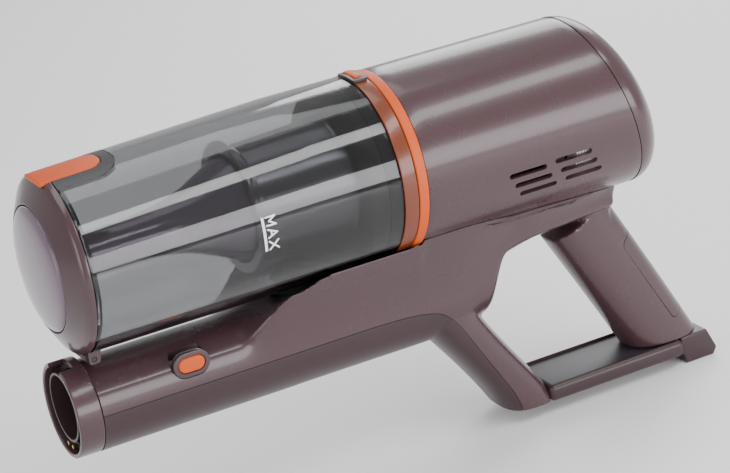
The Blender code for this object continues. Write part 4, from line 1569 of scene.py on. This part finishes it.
@dataclass
class Base:
    """The plate under the loop, its inset tray and the rear foot."""

    near: float = 73.0
    far: float = 162.6
    half_width: float = 20.5
    top: float = -150.0
    bottom: float = -160.0
    floor: float = -167.0
    recess: tuple[float, float] = (75.4, 159.0)
    recess_half: float = 17.9
    recess_floor: float = -158.4
    tray_z: tuple[float, float] = (-153.0, -151.6)
    tray_play: float = 0.4
    heel_half: float = 16.5

    def block(self, name: str, x: tuple[float, float], half: float, z: tuple[float, float]) -> Solid:
        """A box centred across the body, between two places along X and two heights."""
        return box(name, (x[0], -half, z[0]), (x[1], half, z[1]))

    def build(self, model: Frame) -> None:
        """Makes and places the base's pieces.

        Args:
            model: Where they are placed.
        """
        plate = self.block("plate", (self.near, self.far), self.half_width, (self.bottom, self.top))
        plate.bevel(3.2, 6)
        depth = (self.recess_floor, self.top + 10.0)
        plate.boolean(self.block("pocket", self.recess, self.recess_half, depth))
        model.place(plate, BELLY, "base_plate")
        inner = (self.recess[0] + self.tray_play, self.recess[1] - self.tray_play)
        tray = self.block("tray", inner, self.recess_half - self.tray_play, self.tray_z)
        model.place(tray.bevel(0.5), TRAY, "base_tray")
        outline = [(163.0, -150.1), (163.0, -160.6), (165.0, -161.5), (165.6, self.floor)]
        outline += [(184.5, self.floor), (187.0, -163.0), (181.0, -150.1)]
        foot = prism("heel", outline, (-self.heel_half, self.heel_half), upright).bevel(2.2, 5)
        model.place(foot, BELLY, "rear_foot")


# ---- studio and camera --------------------------------------------------------------------------------
@dataclass(frozen=True)
class Lamp:
    """A rectangular soft light: where it stands, its size in metres and its power."""

    name: str
    place: tuple[float, float, float]
    size: tuple[float, float]
    power: float
    tint: tuple[float, float, float] = (1.0, 1.0, 1.0)

    def build(self, target: Vector) -> None:
        """Adds the lamp, facing the target.

        Args:
            target: The point it faces.
        """
        data = bpy.data.lights.new(self.name, "AREA")
        data.shape = "RECTANGLE"
        data.size, data.size_y = self.size
        data.energy = self.power
        data.color = self.tint
        lamp = bpy.data.objects.new(self.name, data)
        bpy.context.scene.collection.objects.link(lamp)
        lamp.location = self.place
        lamp.rotation_euler = (target - lamp.location).to_track_quat("-Z", "Y").to_euler()
        lamp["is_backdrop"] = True


@dataclass
class Studio:
    """A pale floor, even ambient light, soft lamps and the camera, all in metres."""

    target: tuple[float, float, float] = (0.0, 0.0, 0.14)
    ambient: float = 0.66
    floor_half: float = 4.0
    eye: tuple[float, float, float] = (-0.5321, -1.1358, 0.5962)
    aim: tuple[float, float, float] = (-0.0232, -0.0296, 0.1409)
    roll: float = -8.335
    lens: float = 123.29
    lamps: tuple[Lamp, ...] = (
        Lamp("key", (0.49, -1.15, 0.31), (1.7, 0.42), 17.0, (1.0, 0.97, 1.0)),
        Lamp("band", (0.4, -0.6, 1.1), (1.1, 0.22), 7.0),
        Lamp("overhead", (-0.1, 0.25, 1.5), (1.4, 0.8), 9.0),
        Lamp("fill", (-1.5, -0.7, 0.5), (0.9, 0.9), 9.0),
        Lamp("rim", (0.9, 1.1, 0.8), (0.8, 0.8), 10.0),
    )

    def floor(self) -> None:
        """Lays the floor."""
        half = self.floor_half
        points = np.array([(-half, -half, 0.0), (half, -half, 0.0), (half, half, 0.0), (-half, half, 0.0)])
        floor = Solid("floor", points, [(0, 1, 2, 3)]).item
        material = bpy.data.materials.new("pale_floor")
        material.use_nodes = True
        shader = material.node_tree.nodes["Principled BSDF"]
        shader.inputs["Base Color"].default_value = linear(240.0, 240.0, 241.0)
        shader.inputs["Roughness"].default_value = 0.7
        floor.data.materials.append(material)
        floor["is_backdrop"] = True

    def air(self) -> None:
        """Sets the even light from all round."""
        world = bpy.data.worlds.new("studio")
        world.use_nodes = True
        background = world.node_tree.nodes["Background"]
        background.inputs["Strength"].default_value = self.ambient
        background.inputs["Color"].default_value = (1.0, 1.0, 1.0, 1.0)
        bpy.context.scene.world = world

    def camera(self) -> None:
        """Stands the camera at the eye, turned to the aim and rolled about its own axis."""
        data = bpy.data.cameras.new("camera")
        data.lens, data.sensor_width = self.lens, 36.0
        camera = bpy.data.objects.new("camera", data)
        bpy.context.scene.collection.objects.link(camera)
        turn = (Vector(self.aim) - Vector(self.eye)).to_track_quat("-Z", "Y")
        turn @= Quaternion((0.0, 0.0, 1.0), math.radians(self.roll))
        camera.matrix_world = Matrix.Translation(self.eye) @ turn.to_matrix().to_4x4()
        bpy.context.scene.camera = camera

    def build(self) -> None:
        """Sets up the floor, the lights and the camera."""
        self.floor()
        self.air()
        for lamp in self.lamps:
            lamp.build(Vector(self.target))
        self.camera()


# ---- the whole scene ----------------------------------------------------------------------------------
def dress_insides(model: Frame) -> None:
    """Gives the pieces inside the housings, which keep their plain CAD shapes, their finishes.

    Args:
        model: The frame that holds them.
    """
    model.dress(STEEL, "motor_can", "bearing_front", "bearing_rear", "rotor_shaft", "rotor_magnet")
    model.dress(ALUMINIUM, "bearing_bracket_front", "bearing_bracket_rear", "impeller")
    model.dress(RUBBER, "motor_mount_front", "motor_mount_rear")
    model.dress(WINDING, "stator")
    model.dress(BOARD, "motor_board", "main_board")
    model.dress(FILTER, "exhaust_filter", "filter_cartridge")
    model.dress(CELL, *[f"battery_cell_{number}" for number in range(1, 5)])
    model.dress(CHARCOAL, "cell_holder", "filter_cap")


def corners() -> list[list[float]]:
    """Lowest and highest corner of what shows, as plain lists."""
    return [[round(float(value), 6) for value in corner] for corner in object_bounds()]


def main() -> None:
    """Builds every sub-assembly, then the studio."""
    logging.basicConfig(level=logging.INFO, format="%(message)s")
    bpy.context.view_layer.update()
    bodies = frame["record"]["behaviour"]["bodies"]
    members = {node: body for body, nodes in bodies.items() for node in nodes}
    model = Frame(frame["nodes"], members)
    for part in (Barrel(), DustCup(), Lid(), LowerBody(), Nozzle(), Base()):
        part.build(model)
        LOG.info("%s done", type(part).__name__)
    dress_insides(model)
    Studio().build()


if __name__ == "__main__":
    main()
